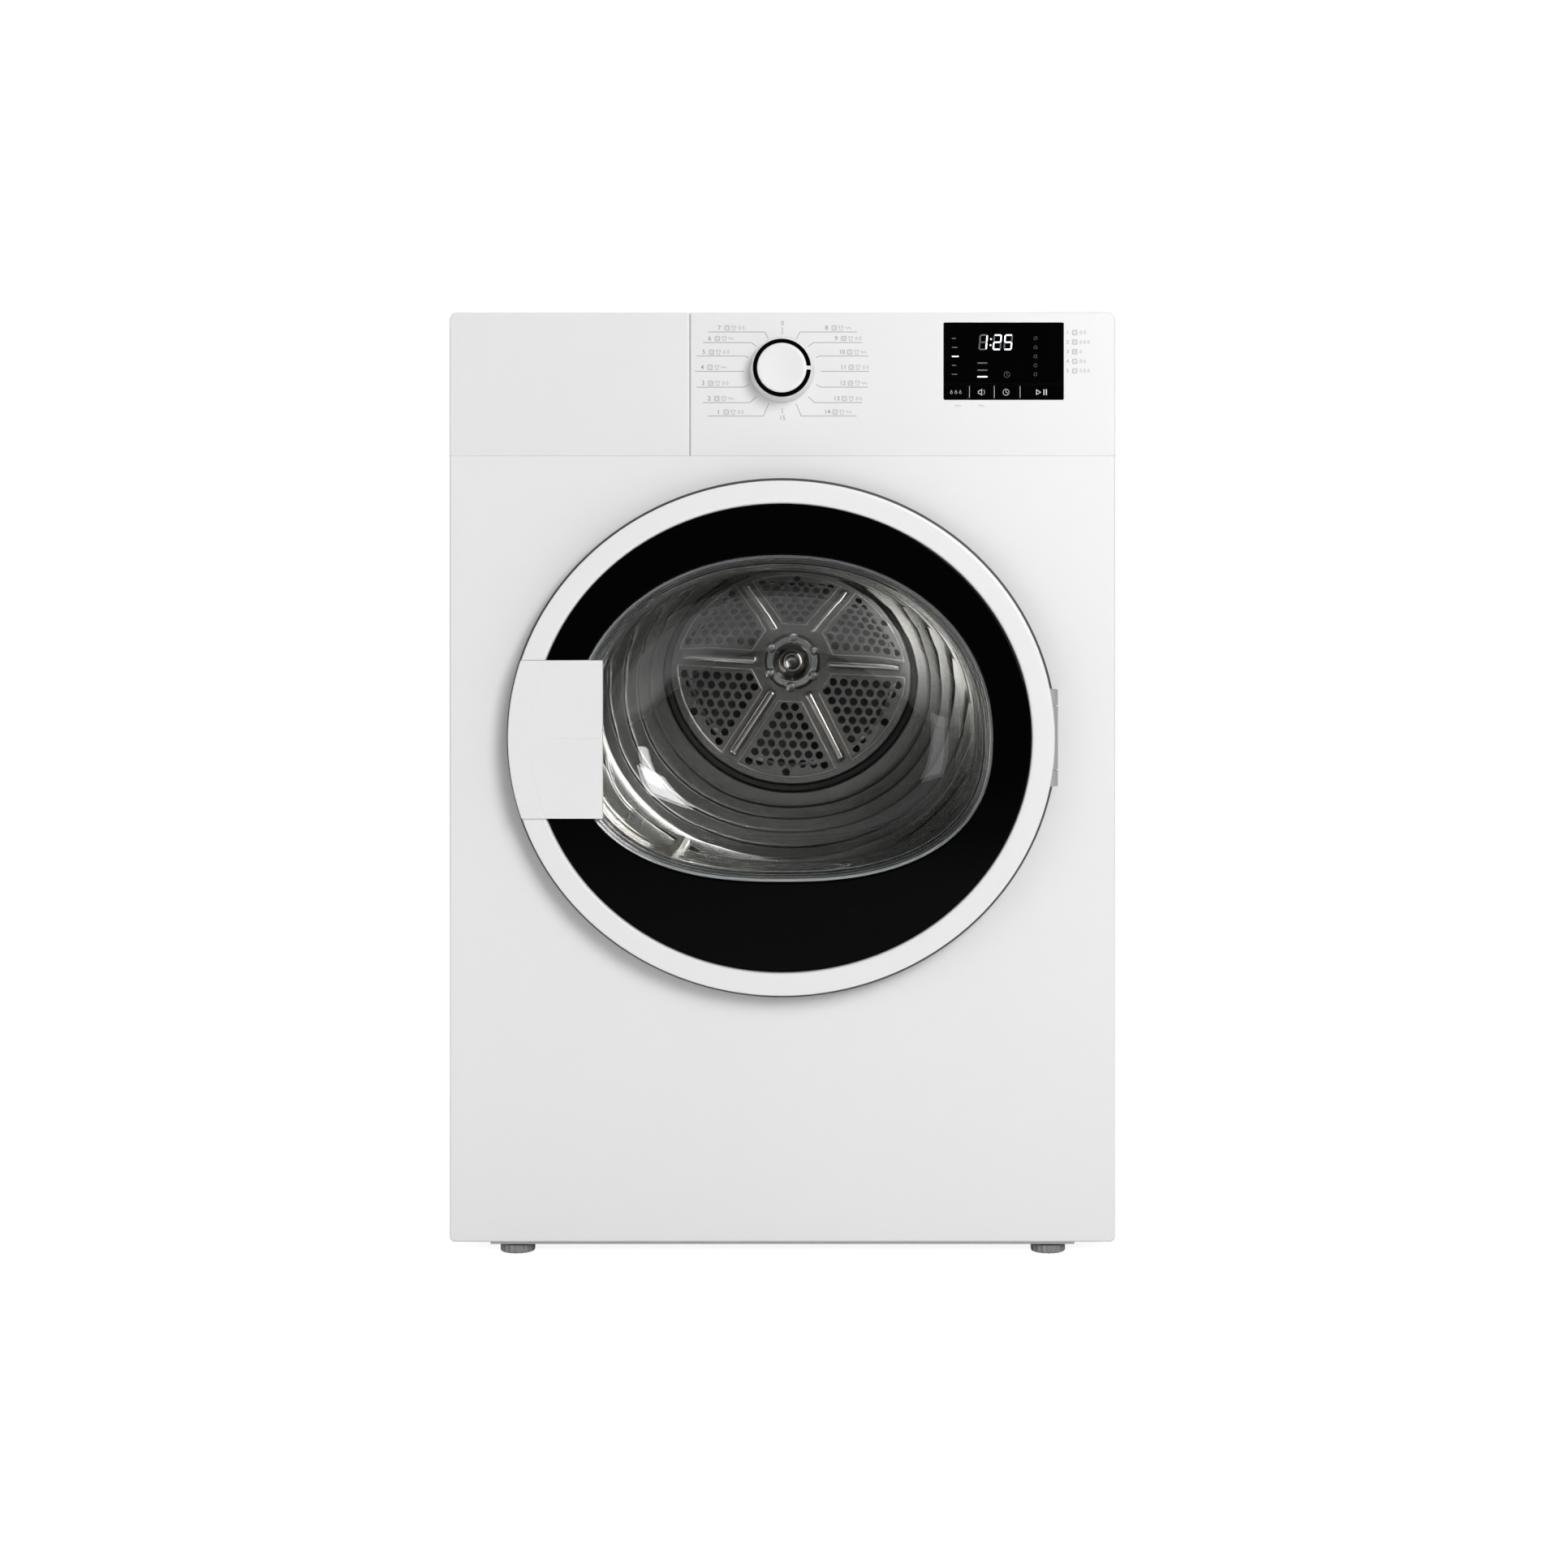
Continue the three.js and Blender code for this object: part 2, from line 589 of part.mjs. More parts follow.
function hingeNotch(x0, front, back) {
  return block(x0, HINGE_X + 30, front, back,
    DOOR_Z - HINGE_HALF_HEIGHT - 1.5, DOOR_Z + HINGE_HALF_HEIGHT + 1.5);
}

function handlePocket(margin) {
  return block(-HALF_WIDTH, HANDLE_RIGHT_X, -HANDLE_PROUD - 1, -HANDLE_SEAT,
    DOOR_Z - HANDLE_BOTTOM - margin, DOOR_Z + HANDLE_TOP + margin);
}

function doorOuterRing() {
  const r = DOOR_HALF_HEIGHT;
  const ring = turned(doorOutline, [
    [r, -26], [r - 3, -RING_PROUD],
    [TRIM_R + 1, -RING_PROUD], [TRIM_R, TRIM_BACK],
    [TRIM_R + RING_WALL, TRIM_BACK], [TRIM_R + RING_WALL, -RING_PROUD + RING_WALL],
    [r - RING_WALL, -RING_PROUD + RING_WALL], [r - RING_WALL, RING_BACK], [r - 0.5, RING_BACK],
  ], DOOR_STEPS);
  return cut(ring, hingeNotch(HINGE_X - 16, -RING_PROUD + RING_WALL + 0.5, 0), handlePocket(FIT));
}

function doorWindowTrim() {
  return sweep([
    { outline: doorOutline(TRIM_R - FIT), back: -TRIM_PROUD },
    { outline: mouthOutline(0), back: -TRIM_PROUD },
    { outline: mouthOutline(0), back: TRIM_BACK },
    { outline: doorOutline(TRIM_R - FIT), back: TRIM_BACK },
  ], DOOR_STEPS);
}

function doorGlassBowl() {
  const front = TRIM_BACK + FIT;
  const point = () => [0, DOOR_Z];
  const outside = stationsOf(mouthOutline, [
    [GLASS_FLANGE, front], [GLASS_FLANGE, front + GLASS], [0, front + GLASS],
    [-5, 0], [-16, 40], [-33, BOWL_DEPTH - 12], [-58, BOWL_DEPTH - 4],
  ]);
  const inside = stationsOf(mouthOutline, [
    [-60, BOWL_DEPTH - 4 - GLASS], [-36, BOWL_DEPTH - 12 - GLASS], [-20, 38], [-9, -1], [-GLASS, front],
  ]);
  return sweep([
    { outline: point, back: BOWL_DEPTH - GLASS },
    ...inside,
    ...outside,
    { outline: point, back: BOWL_DEPTH },
  ].reverse(), DOOR_STEPS, false);
}

function doorInnerFrame() {
  const edge = DOOR_HALF_HEIGHT - RING_WALL - 1;
  const frame = sweep([
    { outline: doorOutline(edge), back: FRAME_FRONT },
    { outline: mouthOutline(1), back: FRAME_FRONT },
    { outline: mouthOutline(1), back: FRAME_BACK },
    { outline: doorOutline(edge), back: FRAME_BACK },
  ], DOOR_STEPS);
  return cut(frame, hingeNotch(HINGE_X - 14, FRAME_FRONT - 1, FRAME_BACK + 1));
}

function doorSeal() {
  const inner = SEAL_MARGIN;
  const outer = SEAL_MARGIN + SEAL_WIDTH;
  return turned(mouthOutline, [
    [outer, FRAME_BACK], [inner, FRAME_BACK], [inner + 1.5, -0.6], [outer - 1.5, -0.6],
  ], DOOR_STEPS);
}

function doorHandle() {
  const edge = doorOutline(DOOR_HALF_HEIGHT - 0.4);
  const shape = new THREE.Shape();
  const from = Math.PI - Math.asin(HANDLE_TOP / DOOR_HALF_HEIGHT);
  const to = Math.PI + Math.asin(HANDLE_BOTTOM / DOOR_HALF_HEIGHT);
  const steps = 12;
  shape.moveTo(HANDLE_RIGHT_X, DOOR_Z - HANDLE_BOTTOM);
  shape.lineTo(HANDLE_RIGHT_X, DOOR_Z + HANDLE_TOP);
  for (let i = 0; i <= steps; i += 1) {
    const [x, z] = edge(from + ((to - from) * i) / steps);
    shape.lineTo(x, z);
  }
  const plate = slab(shape, -HANDLE_PROUD, -HANDLE_PROUD + HANDLE_PLATE, 1.2);
  const root = slab(shape, -HANDLE_PROUD + 2, -HANDLE_SEAT - FIT);
  const inside = slab(outlineShape(doorOutline(TRIM_R + 1), DOOR_STEPS), -HANDLE_PROUD + HANDLE_PLATE, 0);
  return join(plate, cut(root, inside));
}

function doorStrike() {
  const tongue = block(STRIKE_X - STRIKE_HALF, STRIKE_X + STRIKE_HALF, FRAME_BACK, STRIKE_REACH,
    DOOR_Z - 10, DOOR_Z + 10);
  const eye = block(STRIKE_X - STRIKE_HALF - 1, STRIKE_X + STRIKE_HALF + 1, 4, STRIKE_REACH - 3,
    DOOR_Z - 6, DOOR_Z + 6);
  return cut(tongue, eye);
}

function hingeLeaf() {
  const half = HINGE_HALF_HEIGHT - HINGE_LUG - 1;
  const knuckle = barZ(HINGE_X, -HINGE_PROUD, KNUCKLE_R, DOOR_Z - half, DOOR_Z + half, 24);
  const arm = block(HINGE_X - 36, HINGE_X, FRAME_FRONT - 4.5, FRAME_FRONT, DOOR_Z - half + 2, DOOR_Z + half - 2);
  const web = block(HINGE_X - KNUCKLE_R, HINGE_X, -HINGE_PROUD, FRAME_FRONT, DOOR_Z - half + 2, DOOR_Z + half - 2);
  const bore = barZ(HINGE_X, -HINGE_PROUD, PIN_R + RUN, DOOR_Z - half - 1, DOOR_Z + half + 1, 20);
  return cut(join(knuckle, arm, web), bore);
}

function hingePin() {
  return barZ(HINGE_X, -HINGE_PROUD, PIN_R, DOOR_Z - HINGE_HALF_HEIGHT + 1, DOOR_Z + HINGE_HALF_HEIGHT - 1, 20);
}

function hingeBracket() {
  const low = DOOR_Z - HINGE_HALF_HEIGHT;
  const high = DOOR_Z + HINGE_HALF_HEIGHT;
  let bracket = block(HINGE_X - 11, HINGE_X + 6, -HINGE_PLATE, 0, low, high);
  for (const z of [low, high - HINGE_LUG]) {
    const stem = block(HINGE_X - KNUCKLE_R, HINGE_X + 1.5, -HINGE_PROUD, -HINGE_PLATE + 1, z, z + HINGE_LUG);
    const eye = barZ(HINGE_X, -HINGE_PROUD, KNUCKLE_R, z, z + HINGE_LUG, 24);
    bracket = join(bracket, stem, eye);
  }
  return cut(bracket, barZ(HINGE_X, -HINGE_PROUD, PIN_R + RUN, low - 1, high + 1, 20));
}

function doorCatch() {
  const body = block(STRIKE_X - STRIKE_HALF - 9, STRIKE_X + STRIKE_HALF + 8, SHEET, SHEET + 20,
    DOOR_Z - 20, DOOR_Z + 20);
  const well = block(STRIKE_X - STRIKE_HALF - 4, STRIKE_X + STRIKE_HALF + 4, SHEET - 1, SHEET + 16,
    DOOR_Z - 14, DOOR_Z + 14);
  return cut(body, well);
}

// ---- front support of the drum -----------------------------------------------------------

function rollerPlaces() {
  const angle = THREE.MathUtils.degToRad(ROLLER_ANGLE);
  const reach = DRUM_R + ROLLER_R + RUN;
  return [-1, 1].map((side) => ({
    name: side < 0 ? 'support_roller_left' : 'support_roller_right',
    x: side * reach * Math.sin(angle),
    z: DRUM_Z - reach * Math.cos(angle),
  }));
}

function frontBulkhead() {
  const back = BULKHEAD;
  const rear = back + BULKHEAD_WALL;
  const margin = OPENING_MARGIN;
  const plate = cut(
    slab(
      rectangle(-HALF_WIDTH + BULKHEAD_INSET, HALF_WIDTH - BULKHEAD_INSET,
        DRUM_Z - BULKHEAD_BELOW_DRUM, DRUM_Z + BULKHEAD_ABOVE_DRUM, [70, 70, 90, 90]),
      back, rear),
    slab(outlineShape(mouthOutline(margin + 1), DOOR_STEPS), back - 1, rear + 1),
  );
  const throat = turned(mouthOutline, [
    [margin + THROAT_WALL, SHEET], [margin, SHEET], [margin, rear], [margin + THROAT_WALL, rear],
  ], DOOR_STEPS);
  const collar = turned(drumCircle, [
    [COLLAR_R, back + 1], [COLLAR_R - COLLAR_WALL, back + 1],
    [COLLAR_R - COLLAR_WALL, rear + COLLAR_LENGTH], [COLLAR_R, rear + COLLAR_LENGTH],
  ], DRUM_STEPS);
  let bulkhead = join(plate, throat, collar);
  for (const { x, z } of rollerPlaces()) {
    bulkhead = join(bulkhead, barY(x, z, ROLLER_AXLE_R, back + 1, rollerBack() + ROLLER_WIDTH + 4, 16));
  }
  const slot = block(-FILTER_HALF_WIDTH - 2, FILTER_HALF_WIDTH + 2, FILTER_FRONT - 2,
    FILTER_FRONT + FILTER_DEPTH + 2, SLOT_Z - 18, SLOT_Z + 17);
  return cut(bulkhead, slot);
}

const rollerBack = () => DRUM_FRONT + 6;

function supportRoller(x, z) {
  const back = rollerBack();
  return cut(
    barY(x, z, ROLLER_R, back, back + ROLLER_WIDTH, 28),
    barY(x, z, ROLLER_AXLE_R + RUN, back - 1, back + ROLLER_WIDTH + 1, 20),
  );
}

function drumFrontSeal() {
  const rear = BULKHEAD + BULKHEAD_WALL;
  return turned(drumCircle, [
    [DRUM_MOUTH_R - 1, rear + 0.5], [COLLAR_R + FIT, rear + 0.5],
    [COLLAR_R + FIT, rear + COLLAR_LENGTH - 1], [DRUM_MOUTH_R - 1, rear + COLLAR_LENGTH - 1],
  ], DRUM_STEPS);
}

function moistureSensor() {
  const back = BULKHEAD + BULKHEAD_WALL;
  const half = SENSOR_WIDTH / 2;
  const inner = COLLAR_R - COLLAR_WALL;
  const low = DRUM_Z - Math.sqrt(inner ** 2 - half ** 2) + 2;
  const base = block(-half, half, back, back + 2, low, low + 16);
  const strips = [low + 3, low + 10].map((z) => block(-half + 4, half - 4, back + 1, back + 4, z, z + 3));
  return join(base, ...strips);
}

// ---- drum --------------------------------------------------------------------------------

function drumShell() {
  const r = DRUM_R;
  const inner = r - DRUM_SHEET;
  const lip = DRUM_FRONT + 7;
  return turned(drumCircle, [
    [r, DRUM_FRONT + 3], [r - 3, DRUM_FRONT], [DRUM_MOUTH_R, DRUM_FRONT],
    [DRUM_MOUTH_R, lip], [DRUM_MOUTH_R + DRUM_SHEET, lip],
    [DRUM_MOUTH_R + DRUM_SHEET, DRUM_FRONT + DRUM_SHEET], [inner - 3, DRUM_FRONT + DRUM_SHEET],
    [inner, DRUM_FRONT + 4], [inner, DRUM_REAR], [r, DRUM_REAR],
  ], DRUM_STEPS);
}

// The back of the drum is a stepped dish, deepest at its perforated disc.
function drumRearWall() {
  const face = [
    [30, BACK_PLATE - 4], [36, BACK_PLATE], [DISC_R, BACK_PLATE], [DISC_R + 3, BACK_PLATE + 6],
    [DISC_R + 10, BACK_PLATE + 6], [DISC_R + 14, BACK_PLATE - 4], [DRUM_R - 102, BACK_PLATE - 12],
    [DRUM_R - 50, BACK_PLATE - 24], [DRUM_R - 12, BACK_PLATE - 32],
    [DRUM_R - DRUM_SHEET - FIT, BACK_PLATE - 30],
  ];
  const rim = [
    [DRUM_R - DRUM_SHEET - FIT, DRUM_REAR],
    [DRUM_R - 2 * DRUM_SHEET - FIT, DRUM_REAR],
  ];
  const behind = face.slice().reverse().map(([r, back], i) => (
    i === 0 ? [r - DRUM_SHEET, back + DRUM_SHEET] : [r, back + DRUM_SHEET]
  ));
  const centre = () => [0, DRUM_Z];
  let wall = sweep([
    { outline: centre, back: BACK_PLATE - 6 },
    ...stationsOf(drumCircle, [...face, ...rim, ...behind]),
    { outline: centre, back: BACK_PLATE - 6 + DRUM_SHEET },
  ], DRUM_STEPS, false);
  const rings = [{ r: 70, count: 10 }, { r: 104, count: 14 }];
  for (const { r, count } of rings) {
    for (let i = 0; i < count; i += 1) {
      const angle = (2 * Math.PI * (i + 0.5)) / count;
      const hole = barY(r * Math.cos(angle), DRUM_Z + r * Math.sin(angle), 5,
        BACK_PLATE - 3, BACK_PLATE + 4, 5);
      wall = cut(wall, hole);
    }
  }
  return wall;
}

function drumShaft() {
  const plate = BACK_PLATE + DRUM_SHEET;
  const flange = barY(0, DRUM_Z, 27, plate - 3.7, plate + 4, 24);
  const spindle = barY(0, DRUM_Z, SHAFT_R, plate, SHAFT_END, 24);
  return join(flange, spindle);
}

// A paddle on the drum wall: a rounded ridge, hollow towards the wall.
function lifterOutline(inset) {
  const base = DRUM_R - DRUM_SHEET - 4;
  const half = LIFTER_WIDTH / 2 - inset;
  const height = LIFTER_HEIGHT - inset;
  const shape = new THREE.Shape();
  shape.moveTo(-half, base);
  shape.quadraticCurveTo(-half * 0.45, base - 2, -half * 0.3, base - height * 0.8);
  shape.quadraticCurveTo(0, base - height * 1.2, half * 0.3, base - height * 0.8);
  shape.quadraticCurveTo(half * 0.45, base - 2, half, base);
  return shape;
}

function drumLifter(i) {
  const front = DRUM_FRONT + LIFTER_INSET;
  const rear = DRUM_REAR - LIFTER_REAR_GAP;
  const wall = LIFTER_WALL;
  const bar = slab(lifterOutline(0), front, rear, 0, 4);
  const core = slab(lifterOutline(wall), front + wall, rear - wall, 0, 4).translate([0, 0, 1]);
  return cut(bar, core).rotate([0, 120 * i + 90, 0]).translate([0, 0, DRUM_Z]);
}

function rearBearingBracket() {
  const rear = CABINET_DEPTH - SHEET;
  const disc = barY(0, DRUM_Z, 40, rear - 4, rear, 24);
  const boss = barY(0, DRUM_Z, 18, rear - 24, rear - 3, 24);
  return cut(join(disc, boss), barY(0, DRUM_Z, SHAFT_R + 4, rear - 25, rear - 5, 24));
}

function drumShaftBush() {
  const rear = CABINET_DEPTH - SHEET;
  return cut(
    barY(0, DRUM_Z, SHAFT_R + 4 - FIT, rear - 26, rear - 7, 24),
    barY(0, DRUM_Z, SHAFT_R + RUN, rear - 27, rear - 6, 24),
  );
}

function plenumFront() {
  return BACK_PLATE + SEAL_FELT + 3;
}

function heaterDuct() {
  const front = plenumFront();
  const rear = CABINET_DEPTH - SHEET;
  const wall = PLENUM_WALL;
  let duct = turned(drumCircle, [
    [PLENUM_R + 12, front], [PLENUM_R, front], [PLENUM_R, rear - wall], [46, rear - wall],
    [46, rear], [PLENUM_R + wall, rear], [PLENUM_R + wall, front + wall], [PLENUM_R + 12, front + wall],
  ], DRUM_STEPS);
  for (let i = 0; i < 6; i += 1) {
    const z = DRUM_Z - 62.5 + 25 * i;
    for (const side of [-1, 1]) {
      duct = cut(duct, block(side * 90 - 28, side * 90 + 28, rear - 4, rear + 1, z - 4, z + 4));
    }
  }
  return duct;
}

function drumRearSeal() {
  const front = BACK_PLATE + DRUM_SHEET + 0.5;
  return turned(drumCircle, [
    [PLENUM_R + 11, front], [PLENUM_R + 1, front],
    [PLENUM_R + 1, plenumFront()], [PLENUM_R + 11, plenumFront()],
  ], DRUM_STEPS);
}

function heaterElement() {
  const geometry = new THREE.TorusGeometry(112, 4, 6, 32);
  geometry.rotateX(Math.PI / 2);
  geometry.translate(0, yAt(CABINET_DEPTH - 20), DRUM_Z);
  return solid(geometry);
}

// ---- air path ----------------------------------------------------------------------------

function filterDuctOutline(inset) {
  const shape = new THREE.Shape();
  const half = FILTER_HALF_WIDTH + 8 - inset;
  const low = MOTOR_Z - 56 + inset;
  shape.moveTo(MOTOR_X - 66 + inset, low);
  shape.lineTo(MOTOR_X + 66 - inset, low);
  shape.lineTo(MOTOR_X + 66 - inset, MOTOR_Z + 66);
  shape.lineTo(half, SLOT_Z - 63.5);
  shape.lineTo(half, SLOT_Z - 5.5);
  shape.lineTo(-half, SLOT_Z - 5.5);
  shape.lineTo(-half, SLOT_Z - 93.5);
  return shape;
}

function filterDuct() {
  const front = DUCT_FRONT;
  const rear = DUCT_FRONT + DUCT_DEPTH;
  const outer = slab(filterDuctOutline(0), front, rear);
  const way = slab(filterDuctOutline(DUCT_WALL), front + DUCT_WALL, rear - DUCT_WALL);
  const mouth = block(-FILTER_HALF_WIDTH - 5, FILTER_HALF_WIDTH + 5, front + DUCT_WALL, rear - DUCT_WALL,
    SLOT_Z - 23.5, SLOT_Z + 6.5);
  const outlet = barY(MOTOR_X, MOTOR_Z, 46, rear - DUCT_WALL - 1, rear + 1, 28);
  return cut(outer, way, mouth, outlet);
}

function lintFilter() {
  const top = SLOT_Z - 1.5;
  const low = SLOT_Z - 101.5;
  const half = FILTER_HALF_WIDTH;
  const rear = FILTER_FRONT + FILTER_DEPTH;
  const body = block(-half, half, FILTER_FRONT, rear, low, top);
  const pocket = block(-half + FILTER_WALL, half - FILTER_WALL, FILTER_FRONT + FILTER_WALL,
    rear - FILTER_WALL, low + FILTER_WALL, top + 1);
  return cut(body, pocket);
}

function blowerOutline(inset) {
  const shape = new THREE.Shape();
  const r = BLOWER_R - inset;
  const low = EXHAUST_Z - 44 + inset;
  const high = EXHAUST_Z + 40 - inset;
  const start = Math.PI + Math.asin((MOTOR_Z - high) / r);
  const left = EXHAUST_X + EXHAUST_BEND + 12 + inset;
  shape.moveTo(left, low);
  shape.lineTo(MOTOR_X, low);
  shape.absarc(MOTOR_X, MOTOR_Z, r, -Math.PI / 3, start, false);
  shape.lineTo(left, high);
  return shape;
}

function blowerHousing() {
  const front = BLOWER_FRONT;
  const rear = front + BLOWER_DEPTH;
  const wall = BLOWER_WALL;
  const left = EXHAUST_X + EXHAUST_BEND + 12;
  const outer = slab(blowerOutline(0), front, rear, 0, 24);
  const way = slab(blowerOutline(wall), front + wall, rear - wall, 0, 24);
  const inlet = barY(MOTOR_X, MOTOR_Z, 46, front - 1, front + wall + 1, 28);
  const shaftHole = barY(MOTOR_X, MOTOR_Z, ROTOR_R + 2, rear - wall - 1, rear + 1, 16);
  const outlet = block(left - 1, left + wall + 1, front + 8, rear - 8, EXHAUST_Z - 32, EXHAUST_Z + 28);
  return cut(outer, way, inlet, shaftHole, outlet);
}

// The pipe leaves the blower sideways, turns once and runs straight to the rear collar.
function exhaustPipe() {
  const startX = EXHAUST_X + EXHAUST_BEND + 12 - FIT;
  const bendBack = BLOWER_FRONT + BLOWER_DEPTH / 2;
  const straight = bendBack + EXHAUST_BEND;
  const at = (x, back) => new THREE.Vector3(x, yAt(back), EXHAUST_Z);
  const elbow = new THREE.QuadraticBezierCurve3(at(startX, bendBack), at(EXHAUST_X, bendBack), at(EXHAUST_X, straight));
  const pipe = (r, reach) => join(
    solid(new THREE.ExtrudeGeometry(discShape(r), {
      extrudePath: elbow,
      steps: 7,
      curveSegments: 9,
      bevelEnabled: false,
    })),
    barY(EXHAUST_X, EXHAUST_Z, r, straight - 1, CABINET_DEPTH + COLLAR_PROUD + reach, 18),
    barX(startX - 1, startX + reach, bendBack, EXHAUST_Z, r, 18),
  );
  return cut(pipe(EXHAUST_R, 0), pipe(EXHAUST_R - EXHAUST_WALL, 1));
}

// ---- drive -------------------------------------------------------------------------------

function motorHousing() {
  const rear = MOTOR_FRONT + MOTOR_LENGTH;
  const body = barY(MOTOR_X, MOTOR_Z, MOTOR_R, MOTOR_FRONT + 8, rear - 8, 32);
  const caps = join(
    barY(MOTOR_X, MOTOR_Z, MOTOR_R - 8, MOTOR_FRONT, MOTOR_FRONT + 9, 32, MOTOR_R),
    barY(MOTOR_X, MOTOR_Z, MOTOR_R, rear - 9, rear, 32, MOTOR_R - 8),
  );
  return cut(join(body, caps), barY(MOTOR_X, MOTOR_Z, ROTOR_R + RUN, MOTOR_FRONT - 1, rear + 1, 20));
}

function motorRotor() {
  const shaft = barY(MOTOR_X, MOTOR_Z, ROTOR_R, BLOWER_FRONT + 20, BELT_BACK + BELT_WIDTH + 6, 20);
  const rimFront = barY(MOTOR_X, MOTOR_Z, PULLEY_R + 3, BELT_BACK - 4, BELT_BACK - 1, 24);
  const track = barY(MOTOR_X, MOTOR_Z, PULLEY_R, BELT_BACK - 2, BELT_BACK + BELT_WIDTH + 2, 24);
  const rimRear = barY(MOTOR_X, MOTOR_Z, PULLEY_R + 3, BELT_BACK + BELT_WIDTH + 1, BELT_BACK + BELT_WIDTH + 4, 24);
  return join(shaft, rimFront, track, rimRear);
}

function blowerImpeller() {
  const front = BLOWER_FRONT + BLOWER_WALL + 4;
  const rear = BLOWER_FRONT + BLOWER_DEPTH - BLOWER_WALL - 5;
  const plate = barY(MOTOR_X, MOTOR_Z, IMPELLER_R, rear - 3, rear, 36);
  const hub = barY(MOTOR_X, MOTOR_Z, 16, front + 20, rear - 1, 24);
  const ring = cut(
    barY(MOTOR_X, MOTOR_Z, IMPELLER_R, front, front + 3, 36),
    barY(MOTOR_X, MOTOR_Z, IMPELLER_R - 14, front - 1, front + 4, 36),
  );
  let wheel = join(plate, hub, ring);
  const blades = 12;
  for (let i = 0; i < blades; i += 1) {
    const blade = new THREE.BoxGeometry(16, rear - front - 2, 2);
    blade.rotateY(0.5);
    blade.translate(IMPELLER_R - 9, yAt((front + rear) / 2), 0);
    blade.rotateY((2 * Math.PI * i) / blades);
    blade.translate(MOTOR_X, 0, MOTOR_Z);
    wheel = join(wheel, solid(blade));
  }
  return cut(wheel, barY(MOTOR_X, MOTOR_Z, ROTOR_R + FIT, front, rear + 1, 20));
}

function driveBelt() {
  const pulleys = [DRUM_BELT, IDLER_BELT, MOTOR_BELT];
  const middle = [];
  pulleys.forEach((pulley, i) => {
    const before = pulleys[(i + pulleys.length - 1) % pulleys.length];
    const after = pulleys[(i + 1) % pulleys.length];
    const flip = pulley.turn > 0 ? 0 : Math.PI;
    const from = tangent(before, pulley).normal + flip;
    let sweepAngle = tangent(pulley, after).normal + flip - from;
    const whole = 2 * Math.PI;
    sweepAngle = pulley.turn > 0
      ? ((sweepAngle % whole) + whole) % whole
      : -(((-sweepAngle % whole) + whole) % whole);
    for (let k = 0; k <= pulley.steps; k += 1) {
      const angle = from + (sweepAngle * k) / pulley.steps;
      const out = pulley.turn;
      middle.push({ pulley, angle, out });
    }
  });
  const edge = (offset) => middle.map(({ pulley, angle, out }) => new THREE.Vector2(
    pulley.x + (pulley.r + out * offset) * Math.cos(angle),
    pulley.z + (pulley.r + out * offset) * Math.sin(angle),
  ));
  const shape = new THREE.Shape(edge(BELT_THICKNESS / 2));
  shape.holes.push(new THREE.Path(edge(-BELT_THICKNESS / 2)));
  return slab(shape, BELT_BACK, BELT_BACK + BELT_WIDTH);
}

function idlerArm() {
  const back = BELT_BACK - ARM_THICKNESS - 3;
  const shape = new THREE.Shape();
  shape.moveTo(IDLER_PIVOT_X - 9, IDLER_PIVOT_Z - 9);
  shape.lineTo(IDLER_PIVOT_X + 9, IDLER_PIVOT_Z - 9);
  shape.lineTo(IDLER_X + 8, IDLER_Z + 8);
  shape.lineTo(IDLER_X - 8, IDLER_Z + 8);
  const bar = slab(shape, back, back + ARM_THICKNESS);
  const axle = barY(IDLER_X, IDLER_Z, IDLER_PIN_R, back + 1, BELT_BACK + BELT_WIDTH + 5, 16);
  const bore = barY(IDLER_PIVOT_X, IDLER_PIVOT_Z, IDLER_PIN_R + RUN, back - 1, back + ARM_THICKNESS + 1, 16);
  return cut(join(bar, axle), bore);
}

function idlerPulley() {
  const front = BELT_BACK - 2;
  const rear = BELT_BACK + BELT_WIDTH + 2;
  return cut(
    barY(IDLER_X, IDLER_Z, IDLER_R, front, rear, 28),
    barY(IDLER_X, IDLER_Z, IDLER_PIN_R + RUN, front - 1, rear + 1, 16),
  );
}

class Coil extends THREE.Curve {
  constructor(from, to, radius, turns) {
    super();
    this.from = from;
    this.to = to;
    this.radius = radius;
    this.turns = turns;
  }

  getPoint(t, target = new THREE.Vector3()) {
    const angle = 2 * Math.PI * this.turns * t;
    target.lerpVectors(this.from, this.to, t);
    target.y += this.radius * Math.cos(angle);
    target.z += this.radius * Math.sin(angle);
    return target;
  }
}

function tensionSpring() {
  const back = BELT_BACK - ARM_THICKNESS / 2 - 3;
  const from = new THREE.Vector3(IDLER_PIVOT_X + 14, yAt(back), IDLER_PIVOT_Z + 50);
  const to = new THREE.Vector3(MOTOR_X - MOTOR_R - 8, yAt(back), IDLER_PIVOT_Z + 50);
  return solid(new THREE.ExtrudeGeometry(discShape(0.9), {
    extrudePath: new Coil(from, to, 5, 5),
    steps: 40,
    curveSegments: 2,
    bevelEnabled: false,
  }));
}

// ---- mains inlet -------------------------------------------------------------------------

function terminalCover() {
  const rear = CABINET_DEPTH;
  const shape = rectangle(TERMINAL_X - 45, TERMINAL_X + 45, TERMINAL_Z - 35, TERMINAL_Z + 35, [5, 5, 5, 5]);
  const inner = rectangle(TERMINAL_X - 42, TERMINAL_X + 42, TERMINAL_Z - 32, TERMINAL_Z + 32);
  const shell = cut(slab(shape, rear, rear + 18), slab(inner, rear - 1, rear + 15));
  return cut(shell, barZ(TERMINAL_X, rear + 8, 6.5, TERMINAL_Z - 40, TERMINAL_Z - 30, 20));
}

